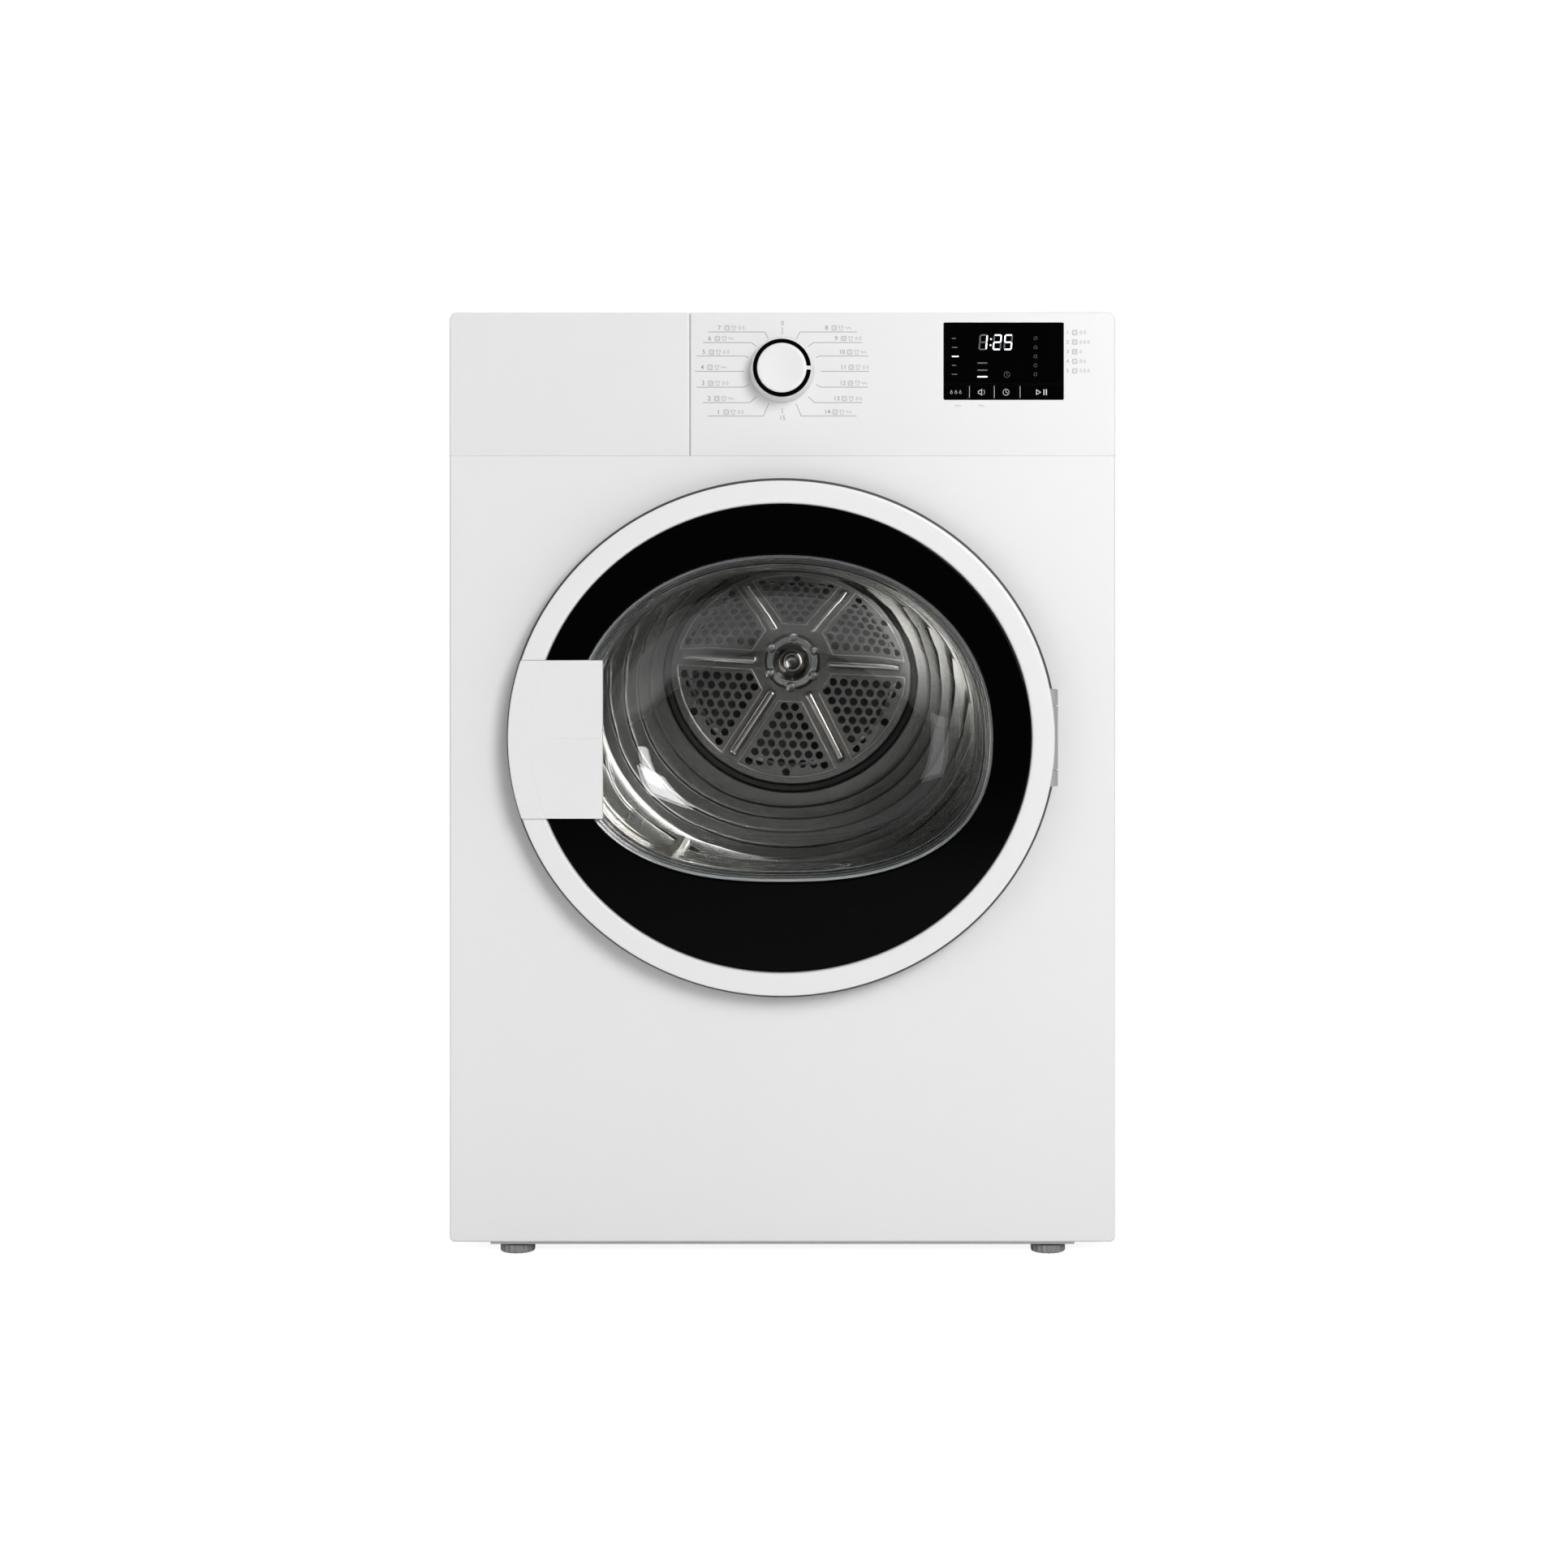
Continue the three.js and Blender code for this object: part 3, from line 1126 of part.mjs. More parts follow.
function cordEntryGrommet() {
  const back = CABINET_DEPTH + 8;
  const sleeve = barZ(TERMINAL_X, back, 6.2, TERMINAL_Z - 42, TERMINAL_Z - 27, 20);
  const lip = barZ(TERMINAL_X, back, 7.6, TERMINAL_Z - 42, TERMINAL_Z - 35.3, 20);
  return cut(join(sleeve, lip), barZ(TERMINAL_X, back, 4.2, TERMINAL_Z - 43, TERMINAL_Z - 26, 16));
}

// ---- materials ---------------------------------------------------------------------------

const paint = (color, roughness, metalness) => new THREE.MeshStandardMaterial({ color, roughness, metalness });
const finishes = {
  whiteEnamel: paint(0xe9eaeb, 0.35, 0),
  whitePlastic: paint(0xebecee, 0.4, 0),
  blackGloss: paint(0x08090a, 0.08, 0),
  darkPlastic: paint(0x2b2d30, 0.55, 0),
  greyPlastic: paint(0x8c9095, 0.55, 0),
  glass: paint(0xcfd8da, 0.03, 0),
  steel: paint(0xb8b6b0, 0.3, 0.95),
  zinc: paint(0xa8abad, 0.45, 0.8),
  rubber: paint(0x1b1c1d, 0.8, 0),
  felt: paint(0x6d6a66, 0.95, 0),
  aluminium: paint(0xb4b7ba, 0.4, 0.9),
  board: paint(0x1d5a38, 0.5, 0),
};

// ---- assembly ----------------------------------------------------------------------------

const dryer = new THREE.Group();

function add(name, manifold, finish) {
  const mesh = new THREE.Mesh(geometryOf(manifold), finishes[finish]);
  mesh.name = name;
  dryer.add(mesh);
}

add('base_pan', basePan(), 'greyPlastic');
add('left_side_panel', sidePanel(-1), 'whiteEnamel');
add('right_side_panel', sidePanel(1), 'whiteEnamel');
add('rear_panel', rearPanel(), 'zinc');
add('front_panel', frontPanel(), 'whiteEnamel');
add('top_panel', topPanel(), 'whitePlastic');
add('control_fascia', controlFascia(), 'whitePlastic');
add('fascia_blank_cover', blankCover(), 'whitePlastic');
add('display_window', displayWindow(), 'blackGloss');
add('control_board', controlBoard(), 'board');
add('selector_switch', selectorSwitch(), 'darkPlastic');
add('programme_knob', programmeKnob(), 'whitePlastic');
KEY_NAMES.forEach((name, i) => add(name, key(i), 'blackGloss'));
add('door_outer_ring', doorOuterRing(), 'whitePlastic');
add('door_window_trim', doorWindowTrim(), 'blackGloss');
add('door_glass_bowl', doorGlassBowl(), 'glass');
add('door_inner_frame', doorInnerFrame(), 'greyPlastic');
add('door_seal', doorSeal(), 'rubber');
add('door_handle', doorHandle(), 'whitePlastic');
add('door_strike', doorStrike(), 'greyPlastic');
add('hinge_leaf', hingeLeaf(), 'zinc');
add('hinge_pin', hingePin(), 'steel');
add('hinge_bracket', hingeBracket(), 'whitePlastic');
add('door_catch', doorCatch(), 'darkPlastic');
add('front_bulkhead', frontBulkhead(), 'greyPlastic');
add('drum_front_seal', drumFrontSeal(), 'felt');
add('moisture_sensor', moistureSensor(), 'steel');
add('lint_filter', lintFilter(), 'whitePlastic');
add('filter_duct', filterDuct(), 'greyPlastic');
add('blower_housing', blowerHousing(), 'darkPlastic');
add('exhaust_pipe', exhaustPipe(), 'zinc');
add('drum_shell', drumShell(), 'steel');
add('drum_rear_wall', drumRearWall(), 'steel');
add('drum_shaft', drumShaft(), 'steel');
[1, 2, 3].forEach((i) => add(`drum_lifter_${i}`, drumLifter(i), 'steel'));
add('rear_bearing_bracket', rearBearingBracket(), 'zinc');
add('drum_shaft_bush', drumShaftBush(), 'darkPlastic');
add('drum_rear_seal', drumRearSeal(), 'felt');
add('heater_duct', heaterDuct(), 'zinc');
add('heater_element', heaterElement(), 'steel');
add('motor_housing', motorHousing(), 'aluminium');
add('motor_rotor', motorRotor(), 'steel');
add('blower_impeller', blowerImpeller(), 'greyPlastic');
add('drive_belt', driveBelt(), 'rubber');
add('idler_arm', idlerArm(), 'zinc');
add('idler_pulley', idlerPulley(), 'darkPlastic');
add('tension_spring', tensionSpring(), 'steel');
for (const { name, x, z } of rollerPlaces()) add(name, supportRoller(x, z), 'darkPlastic');
add('terminal_cover', terminalCover(), 'darkPlastic');
add('cord_entry_grommet', cordEntryGrommet(), 'rubber');
for (const { name, x, back } of footPlaces()) add(name, foot(x, back), 'darkPlastic');

export default dryer;
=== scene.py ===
import json
import math

import bpy
from mathutils import Matrix, Vector


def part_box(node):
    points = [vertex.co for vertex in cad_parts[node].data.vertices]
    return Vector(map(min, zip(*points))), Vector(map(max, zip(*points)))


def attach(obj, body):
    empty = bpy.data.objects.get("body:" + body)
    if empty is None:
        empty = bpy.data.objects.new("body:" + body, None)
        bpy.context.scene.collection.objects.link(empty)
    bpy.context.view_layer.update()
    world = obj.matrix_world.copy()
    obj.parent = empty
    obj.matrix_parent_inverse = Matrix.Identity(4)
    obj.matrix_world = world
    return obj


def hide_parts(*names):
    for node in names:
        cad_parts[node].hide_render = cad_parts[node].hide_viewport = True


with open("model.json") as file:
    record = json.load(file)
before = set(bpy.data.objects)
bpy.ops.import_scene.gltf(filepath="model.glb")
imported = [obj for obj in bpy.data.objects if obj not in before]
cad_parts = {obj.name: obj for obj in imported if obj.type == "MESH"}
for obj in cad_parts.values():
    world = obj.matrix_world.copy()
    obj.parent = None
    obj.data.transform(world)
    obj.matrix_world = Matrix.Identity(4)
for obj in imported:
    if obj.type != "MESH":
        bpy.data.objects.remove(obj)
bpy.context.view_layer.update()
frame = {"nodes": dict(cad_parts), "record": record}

MM = 0.001
FLAT_WITHIN = 3.0
SHEET = 0.0015
PAST = 0.01
TAU = 2 * math.pi
NODES = frame["nodes"]


# ---- camera, light and stage ---------------------------------------------------------------------

FACE_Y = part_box("front_panel")[0].y
CAMERA_DISTANCE = 2.5
ROOM_DARK = 0.035
ROOM_LIGHT = 0.3
camera = bpy.data.objects.new("camera", bpy.data.cameras.new("camera"))
bpy.context.scene.collection.objects.link(camera)
bpy.context.scene.camera = camera
camera.location = (0.055, FACE_Y - CAMERA_DISTANCE, 0.5706)
camera.rotation_euler = (math.pi / 2, 0, 0)
camera.data.sensor_width = 36
camera.data.lens = 64.035
camera.data.shift_x = -0.0381
camera.data.shift_y = -0.1052
camera.data.dof.use_dof = False

scene = bpy.context.scene
scene.view_settings.view_transform = "Standard"
scene.view_settings.look = "None"


def studio_world():
    """White to the camera. Everything else sees a soft grey room that is dark behind the camera."""
    world = bpy.data.worlds.new("studio")
    scene.world = world
    world.use_nodes = True
    tree = world.node_tree
    tree.nodes.clear()
    out = tree.nodes.new("ShaderNodeOutputWorld")
    mix = tree.nodes.new("ShaderNodeMixShader")
    seen = tree.nodes.new("ShaderNodeBackground")
    room = tree.nodes.new("ShaderNodeBackground")
    path = tree.nodes.new("ShaderNodeLightPath")
    place = tree.nodes.new("ShaderNodeTexCoord")
    parts = tree.nodes.new("ShaderNodeSeparateXYZ")
    dark = tree.nodes.new("ShaderNodeMapRange")
    seen.inputs["Color"].default_value = (1, 1, 1, 1)
    seen.inputs["Strength"].default_value = 1.05
    room.inputs["Color"].default_value = (0.97, 0.98, 1, 1)
    dark.inputs["From Min"].default_value = -0.96
    dark.inputs["From Max"].default_value = -0.55
    dark.inputs["To Min"].default_value = ROOM_DARK
    dark.inputs["To Max"].default_value = ROOM_LIGHT
    tree.links.new(place.outputs["Generated"], parts.inputs[0])
    tree.links.new(parts.outputs["Y"], dark.inputs["Value"])
    tree.links.new(dark.outputs[0], room.inputs["Strength"])
    tree.links.new(path.outputs["Is Camera Ray"], mix.inputs["Fac"])
    tree.links.new(room.outputs[0], mix.inputs[1])
    tree.links.new(seen.outputs[0], mix.inputs[2])
    tree.links.new(mix.outputs[0], out.inputs["Surface"])


def softbox(name, place, aim, width, height, power):
    """A rectangular lamp at a place, turned to face its aim. Power is in watts."""
    light = bpy.data.lights.new(name, "AREA")
    light.shape = "RECTANGLE"
    light.size = width
    light.size_y = height
    light.energy = power
    lamp = bpy.data.objects.new(name, light)
    scene.collection.objects.link(lamp)
    lamp.location = place
    lamp.rotation_euler = (Vector(aim) - Vector(place)).to_track_quat("-Z", "Y").to_euler()
    return lamp


studio_world()
softbox("key_light", (1.52, -4.0, 2.2), (0.0, -0.2, 0.35), 1.6, 1.6, 88)
softbox("fill_light", (-2.2, -2.4, 0.9), (0, -0.2, 0.35), 1.6, 1.6, 10)
softbox("top_light", (0.1, 0.2, 2.6), (0, 0, 0.8), 1.8, 1.4, 15)
softbox("back_light", (-0.6, 2.6, 1.9), (0, 0.2, 0.4), 2.0, 1.6, 32)
softbox("drum_lamp", (0.17, -0.16, 0.60), (-0.28, 0.10, 0.42), 0.04, 0.22, 0.34)
softbox("drum_light", (0.80, -2.45, 0.98), (-0.05, 0.1, 0.45), 0.42, 0.8, 8.5)


# ---- modelling helpers ---------------------------------------------------------------------------

def deselect():
    if bpy.context.object and bpy.context.object.mode != "OBJECT":
        bpy.ops.object.mode_set(mode="OBJECT")
    bpy.ops.object.select_all(action="DESELECT")


def only(piece):
    deselect()
    piece.select_set(True)
    bpy.context.view_layer.objects.active = piece
    return piece


def edit(piece, mode="VERT"):
    only(piece)
    bpy.ops.object.mode_set(mode="EDIT")
    bpy.ops.mesh.select_mode(type=mode)
    bpy.ops.mesh.select_all(action="DESELECT")


def done(piece, angle=35):
    """Ends the modelling of a piece: place into the mesh, faces outwards, soft and hard edges set."""
    only(piece)
    bpy.ops.object.transform_apply(location=True, rotation=True, scale=True)
    bpy.ops.object.mode_set(mode="EDIT")
    bpy.ops.mesh.select_all(action="SELECT")
    bpy.ops.mesh.remove_doubles(threshold=1e-6)
    bpy.ops.mesh.normals_make_consistent(inside=False)
    bpy.ops.object.mode_set(mode="OBJECT")
    bpy.ops.object.shade_smooth_by_angle(angle=math.radians(angle))
    modifier = piece.modifiers.new("even_faces", "WEIGHTED_NORMAL")
    modifier.keep_sharp = True
    apply_modifiers(piece)
    return piece


def named(name):
    piece = bpy.context.object
    piece.name = name
    piece.data.name = name
    return piece


def apply_modifiers(piece):
    only(piece)
    for modifier in list(piece.modifiers):
        bpy.ops.object.modifier_apply(modifier=modifier.name)


def bevel(piece, width, segments=3, angle=30):
    modifier = piece.modifiers.new("edges", "BEVEL")
    modifier.width = width
    modifier.segments = segments
    modifier.limit_method = "ANGLE"
    modifier.angle_limit = math.radians(angle)
    modifier.harden_normals = False
    apply_modifiers(piece)
    return piece


def box(name, low, high, round_by=0.0, segments=3):
    """A block between two corners, with its edges rounded."""
    deselect()
    low, high = Vector(low), Vector(high)
    bpy.ops.mesh.primitive_cube_add(size=1, location=(low + high) / 2, scale=high - low)
    piece = named(name)
    bpy.ops.object.transform_apply(location=True, rotation=True, scale=True)
    if round_by:
        edit(piece, "EDGE")
        bpy.ops.mesh.select_all(action="SELECT")
        bpy.ops.mesh.bevel(offset=round_by, segments=segments, affect="EDGES")
        bpy.ops.object.mode_set(mode="OBJECT")
    return piece


def combine(name, parts, operation="DIFFERENCE"):
    """Cuts the later pieces from the first, or joins them to it."""
    first = parts[0]
    for other in parts[1:]:
        modifier = first.modifiers.new("solid", "BOOLEAN")
        modifier.operation = operation
        modifier.solver = "EXACT"
        modifier.object = other
        apply_modifiers(first)
        bpy.data.objects.remove(other)
    first.name = name
    first.data.name = name
    return first


def merge(name, parts):
    """Makes one object of several closed shells."""
    deselect()
    for part in parts:
        part.select_set(True)
    bpy.context.view_layer.objects.active = parts[0]
    if len(parts) > 1:
        bpy.ops.object.join()
    return named(name)


def copy_of(piece, name):
    twin = piece.copy()
    twin.data = piece.data.copy()
    twin.name = name
    twin.data.name = name
    scene.collection.objects.link(twin)
    return twin


def moved(piece, shift=(0, 0, 0), turn=0.0, axis="Y", centre=(0, 0, 0)):
    """Moves the mesh itself; turn is about an axis through a centre."""
    about = Matrix.Translation(centre) @ Matrix.Rotation(turn, 4,
                                                         axis) @ Matrix.Translation(-Vector(centre))
    piece.data.transform(Matrix.Translation(shift) @ about)
    return piece


def loop(name, centre, half_width, half_height, steps, axis="Y"):
    """An open loop of edges: an ellipse about a centre, facing along an axis."""
    deselect()
    turn = {"Y": (math.pi / 2, 0, 0), "Z": (0, 0, 0), "X": (0, math.pi / 2, 0)}[axis]
    bpy.ops.mesh.primitive_circle_add(vertices=steps, radius=1, location=centre, rotation=turn)
    piece = named(name)
    size = {"Y": (half_width, 1, half_height), "Z": (half_width, half_height, 1),
            "X": (1, half_width, half_height)}
    bpy.ops.object.transform_apply(location=False, rotation=True, scale=True)
    piece.scale = size[axis]
    bpy.ops.object.transform_apply(location=True, rotation=True, scale=True)
    return piece


def raise_loop(piece, centre, stations, closed=True, caps=(False, False), axis="Y"):
    """Extrudes a loop from station to station. A station is (half width, half height, place on the axis).
    closed bridges the last loop to the first; caps fill the first and the last loop instead."""
    edit(piece)
    bpy.ops.mesh.select_all(action="SELECT")
    place = {"X": 0, "Y": 1, "Z": 2}[axis]
    for before, after in zip(stations, stations[1:]):
        bpy.ops.mesh.extrude_region(use_normal_flip=False)
        wide, high = after[0] / before[0], after[1] / before[1]
        middle, size, step = list(centre), [wide, high], [0, 0, 0]
        middle[place] = before[2]
        size.insert(place, 1)
        step[place] = after[2] - before[2]
        bpy.ops.transform.resize(value=size, center_override=middle)
        bpy.ops.transform.translate(value=step)
    if caps[1]:
        bpy.ops.mesh.edge_face_add()
    if closed or caps[0]:
        bpy.ops.mesh.select_all(action="DESELECT")
        bpy.ops.mesh.select_non_manifold()
        if closed:
            bpy.ops.mesh.bridge_edge_loops()
        else:
            bpy.ops.mesh.edge_face_add()
        bpy.ops.mesh.select_all(action="SELECT")
        bpy.ops.mesh.normals_make_consistent(inside=False)
    bpy.ops.object.mode_set(mode="OBJECT")
    return piece


def turned(name, centre, stations, steps=96, closed=True, caps=(False, False), axis="Y"):
    """A turned piece. A station is (radius, place on the axis) or (half width, half height, place)."""
    full = [(s[0], s[0], s[1]) if len(s) == 2 else s for s in stations]
    place = {"Y": 1, "Z": 2, "X": 0}[axis]
    at = list(centre)
    at[place] = full[0][2]
    piece = loop(name, at, full[0][0], full[0][1], steps, axis)
    return raise_loop(piece, centre, full, closed, caps, axis)


def refined(node, round_by=0.0008, segments=2, angle=30):
    """A copy of a CAD node with its triangles merged into flat faces and its edges rounded."""
    piece = copy_of(NODES[node], node + "_skin")
    piece.parent = None
    for key in list(piece.keys()):
        del piece[key]
    edit(piece)
    bpy.ops.mesh.select_all(action="SELECT")
    bpy.ops.mesh.remove_doubles(threshold=2e-6)
    bpy.ops.mesh.dissolve_limited(angle_limit=math.radians(FLAT_WITHIN))
    bpy.ops.object.mode_set(mode="OBJECT")
    if round_by:
        bevel(piece, round_by, segments, angle)
    return piece


def finish(piece, material, body, slot_name, *nodes, angle=35):
    """Hands a finished piece over: finish, body and the CAD nodes it stands for. Its material slot argument
    is not used.
    """
    done(piece, angle)
    piece.data.materials.clear()
    piece.data.materials.append(material)
    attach(piece, body)
    if nodes:
        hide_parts(*nodes)
    return piece


# ---- finishes ------------------------------------------------------------------------------------

def group(name, inputs, outputs):
    """A new shader node group. Inputs and outputs are (name, socket type, default)."""
    tree = bpy.data.node_groups.new(name, "ShaderNodeTree")
    for label, kind, value in inputs:
        socket = tree.interface.new_socket(name=label, in_out="INPUT", socket_type=kind)
        if value is not None:
            socket.default_value = value
    for label, kind in outputs:
        tree.interface.new_socket(name=label, in_out="OUTPUT", socket_type=kind)
    return tree, tree.nodes.new("NodeGroupInput"), tree.nodes.new("NodeGroupOutput")


def node(tree, kind, values=None, **settings):
    made = tree.nodes.new(kind)
    for key, value in settings.items():
        setattr(made, key, value)
    for key, value in (values or {}).items():
        made.inputs[key].default_value = value
    return made


def math_node(tree, operation, a, b, clamp=False):
    made = node(tree, "ShaderNodeMath", operation=operation, use_clamp=clamp)
    for socket, value in zip(made.inputs, (a, b)):
        if isinstance(value, bpy.types.NodeSocket):
            tree.links.new(value, socket)
        else:
            socket.default_value = value
    return made.outputs[0]


FLOAT, COLOUR = "NodeSocketFloat", "NodeSocketColor"


def tone_group():
    """Slow colour drift over a surface, with faint dust in broad patches."""
    tree, given, out = group("tone_drift", [
        ("Colour", COLOUR, (0.8, 0.8, 0.8, 1)), ("Drift", FLOAT, 0.04), ("Scale", FLOAT, 6.0),
        ("Roughness", FLOAT, 0.4), ("Rough Drift", FLOAT, 0.05),
    ], [("Colour", COLOUR), ("Roughness", FLOAT)])
    place = node(tree, "ShaderNodeTexCoord")
    cloud = node(tree, "ShaderNodeTexNoise", {"Detail": 4.0, "Roughness": 0.55})
    tree.links.new(place.outputs["Object"], cloud.inputs["Vector"])
    tree.links.new(given.outputs["Scale"], cloud.inputs["Scale"])
    swing = math_node(tree, "SUBTRACT", cloud.outputs["Fac"], 0.5)
    gain = math_node(tree, "MULTIPLY_ADD", swing, given.outputs["Drift"])
    gain.node.inputs[2].default_value = 1.0
    tint = node(tree, "ShaderNodeVectorMath", operation="SCALE")
    tree.links.new(given.outputs["Colour"], tint.inputs[0])
    tree.links.new(gain, tint.inputs["Scale"])
    tree.links.new(tint.outputs[0], out.inputs["Colour"])
    rough = math_node(tree, "MULTIPLY", swing, given.outputs["Rough Drift"])
    tree.links.new(math_node(tree, "ADD", rough, given.outputs["Roughness"], True), out.inputs["Roughness"])
    return tree


def grain_group():
    """The height of a fine even texture: orange peel on paint, or moulded plastic grain."""
    tree, given, out = group("fine_grain", [
        ("Scale", FLOAT, 900.0), ("Broad Scale", FLOAT, 60.0), ("Broad Share", FLOAT, 0.3),
    ], [("Height", FLOAT)])
    place = node(tree, "ShaderNodeTexCoord")
    fine = node(tree, "ShaderNodeTexNoise", {"Detail": 2.0})
    broad = node(tree, "ShaderNodeTexNoise", {"Detail": 1.0})
    for texture, scale in ((fine, "Scale"), (broad, "Broad Scale")):
        tree.links.new(place.outputs["Object"], texture.inputs["Vector"])
        tree.links.new(given.outputs[scale], texture.inputs["Scale"])
    share = math_node(tree, "MULTIPLY", broad.outputs["Fac"], given.outputs["Broad Share"])
    tree.links.new(math_node(tree, "ADD", fine.outputs["Fac"], share), out.inputs["Height"])
    return tree


def brush_group():
    """Brushed or rolled metal: fine lines along one direction, by squeezing the pattern on the others."""
    tree, given, out = group("brushed_lines", [
        ("Colour", COLOUR, (0.6, 0.6, 0.6, 1)), ("Roughness", FLOAT, 0.3), ("Line X", FLOAT, 40.0),
        ("Line Y", FLOAT, 40.0), ("Line Z", FLOAT, 1.0), ("Contrast", FLOAT, 0.2),
    ], [("Colour", COLOUR), ("Roughness", FLOAT), ("Height", FLOAT)])
    place = node(tree, "ShaderNodeTexCoord")
    stretch = node(tree, "ShaderNodeCombineXYZ")
    for axis in "XYZ":
        tree.links.new(given.outputs["Line " + axis], stretch.inputs[axis])
    product = node(tree, "ShaderNodeVectorMath", operation="MULTIPLY")
    tree.links.new(place.outputs["Object"], product.inputs[0])
    tree.links.new(stretch.outputs[0], product.inputs[1])
    lines = node(tree, "ShaderNodeTexNoise", {"Scale": 12.0, "Detail": 3.0})
    tree.links.new(product.outputs[0], lines.inputs["Vector"])
    swing = math_node(tree, "MULTIPLY", math_node(tree, "SUBTRACT", lines.outputs["Fac"], 0.5),
                      given.outputs["Contrast"])
    gain = math_node(tree, "ADD", swing, 1.0)
    tint = node(tree, "ShaderNodeVectorMath", operation="SCALE")
    tree.links.new(given.outputs["Colour"], tint.inputs[0])
    tree.links.new(gain, tint.inputs["Scale"])
    tree.links.new(tint.outputs[0], out.inputs["Colour"])
    tree.links.new(math_node(tree, "ADD", swing, given.outputs["Roughness"], True), out.inputs["Roughness"])
    tree.links.new(lines.outputs["Fac"], out.inputs["Height"])
    return tree


def wear_group():
    """Picks out the outer edges of a shape, for a faint lighter or duller line along them."""
    tree, given, out = group("edge_wear", [
        ("Colour", COLOUR, (0.8, 0.8, 0.8, 1)), ("Edge Colour", COLOUR, (0.9, 0.9, 0.9, 1)),
        ("Amount", FLOAT, 0.3), ("Patch Scale", FLOAT, 40.0),
    ], [("Colour", COLOUR), ("Mask", FLOAT)])
    shape = node(tree, "ShaderNodeNewGeometry")
    place = node(tree, "ShaderNodeTexCoord")
    patch = node(tree, "ShaderNodeTexNoise", {"Detail": 3.0})
    tree.links.new(place.outputs["Object"], patch.inputs["Vector"])
    tree.links.new(given.outputs["Patch Scale"], patch.inputs["Scale"])
    ramp = node(tree, "ShaderNodeMapRange", {"From Min": 0.52, "From Max": 0.6, "To Min": 0.0,
                                             "To Max": 1.0})
    tree.links.new(shape.outputs["Pointiness"], ramp.inputs["Value"])
    mask = math_node(tree, "MULTIPLY", ramp.outputs[0], patch.outputs["Fac"])
    mask = math_node(tree, "MULTIPLY", mask, given.outputs["Amount"], True)
    mix = node(tree, "ShaderNodeMix", data_type="RGBA")
    tree.links.new(mask, mix.inputs["Factor"])
    tree.links.new(given.outputs["Colour"], mix.inputs[6])
    tree.links.new(given.outputs["Edge Colour"], mix.inputs[7])
    tree.links.new(mix.outputs[2], out.inputs["Colour"])
    tree.links.new(mask, out.inputs["Mask"])
    return tree


TONE = tone_group()
GRAIN = grain_group()
BRUSH = brush_group()
WEAR = wear_group()


def use(tree, which, values):
    made = node(tree, "ShaderNodeGroup", node_tree=which)
    for key, value in values.items():
        made.inputs[key].default_value = value
    return made


def bare_material(name, settings):
    material = bpy.data.materials.new(name)
    material.use_nodes = True
    tree = material.node_tree
    shader = tree.nodes["Principled BSDF"]
    for key, value in settings.items():
        shader.inputs[key].default_value = value
    return material, tree, shader


def bumped(tree, shader, height, strength, distance):
    bump = node(tree, "ShaderNodeBump", {"Strength": strength, "Distance": distance})
    tree.links.new(height, bump.inputs["Height"])
    tree.links.new(bump.outputs[0], shader.inputs["Normal"])


def coated(name, colour, roughness, drift=0.03, scale=5.0, grain=900.0, bump=0.08, edge=None, **settings):
    """Paint, moulded plastic or rubber: drifting tone, fine grain and lightly worn edges."""
    material, tree, shader = bare_material(name, settings)
    tone = use(tree, TONE, {"Colour": (*colour, 1), "Drift": drift, "Scale": scale, "Roughness": roughness,
                            "Rough Drift": 0.12})
    worn = use(tree, WEAR, {"Edge Colour": (*(edge or [c * 0.93 for c in colour]), 1), "Amount": 0.35})
    fine = use(tree, GRAIN, {"Scale": grain})
    tree.links.new(tone.outputs["Colour"], worn.inputs["Colour"])
    tree.links.new(worn.outputs["Colour"], shader.inputs["Base Color"])
    tree.links.new(tone.outputs["Roughness"], shader.inputs["Roughness"])
    bumped(tree, shader, fine.outputs["Height"], bump, 0.0002)
    return material


def metal(name, colour, roughness, lines=(40.0, 40.0, 1.0), contrast=0.2, bump=0.05, **settings):
    """Bare metal with fine lines. The lines run along the axis that has the smallest of the three numbers."""
    material, tree, shader = bare_material(name, {"Metallic": 1.0, **settings})
    brushed = use(tree, BRUSH, {"Colour": (*colour, 1), "Roughness": roughness, "Line X": lines[0],
                                "Line Y": lines[1], "Line Z": lines[2], "Contrast": contrast})
    worn = use(tree, WEAR, {"Edge Colour": (*[min(1, c * 1.2) for c in colour], 1), "Amount": 0.5})
    tree.links.new(brushed.outputs["Colour"], worn.inputs["Colour"])
    tree.links.new(worn.outputs["Colour"], shader.inputs["Base Color"])
    tree.links.new(brushed.outputs["Roughness"], shader.inputs["Roughness"])
    bumped(tree, shader, brushed.outputs["Height"], bump, 0.0001)
    return material


def spangled(name, colour, roughness):
    """Galvanised sheet: flat crystals of slightly different greys."""
    material, tree, shader = bare_material(name, {"Metallic": 0.85})
    place = node(tree, "ShaderNodeTexCoord")
    cells = node(tree, "ShaderNodeTexVoronoi", {"Scale": 70.0})
    tree.links.new(place.outputs["Object"], cells.inputs["Vector"])
    grey = node(tree, "ShaderNodeSeparateColor")
    tree.links.new(cells.outputs["Color"], grey.inputs[0])
    gain = math_node(tree, "MULTIPLY_ADD", grey.outputs[0], 0.22)
    gain.node.inputs[2].default_value = 0.89
    tint = node(tree, "ShaderNodeVectorMath", {0: colour}, operation="SCALE")
    tree.links.new(gain, tint.inputs["Scale"])
    tree.links.new(tint.outputs[0], shader.inputs["Base Color"])
    rough = math_node(tree, "MULTIPLY_ADD", grey.outputs[1], 0.14)
    rough.node.inputs[2].default_value = roughness
    tree.links.new(rough, shader.inputs["Roughness"])
    return material


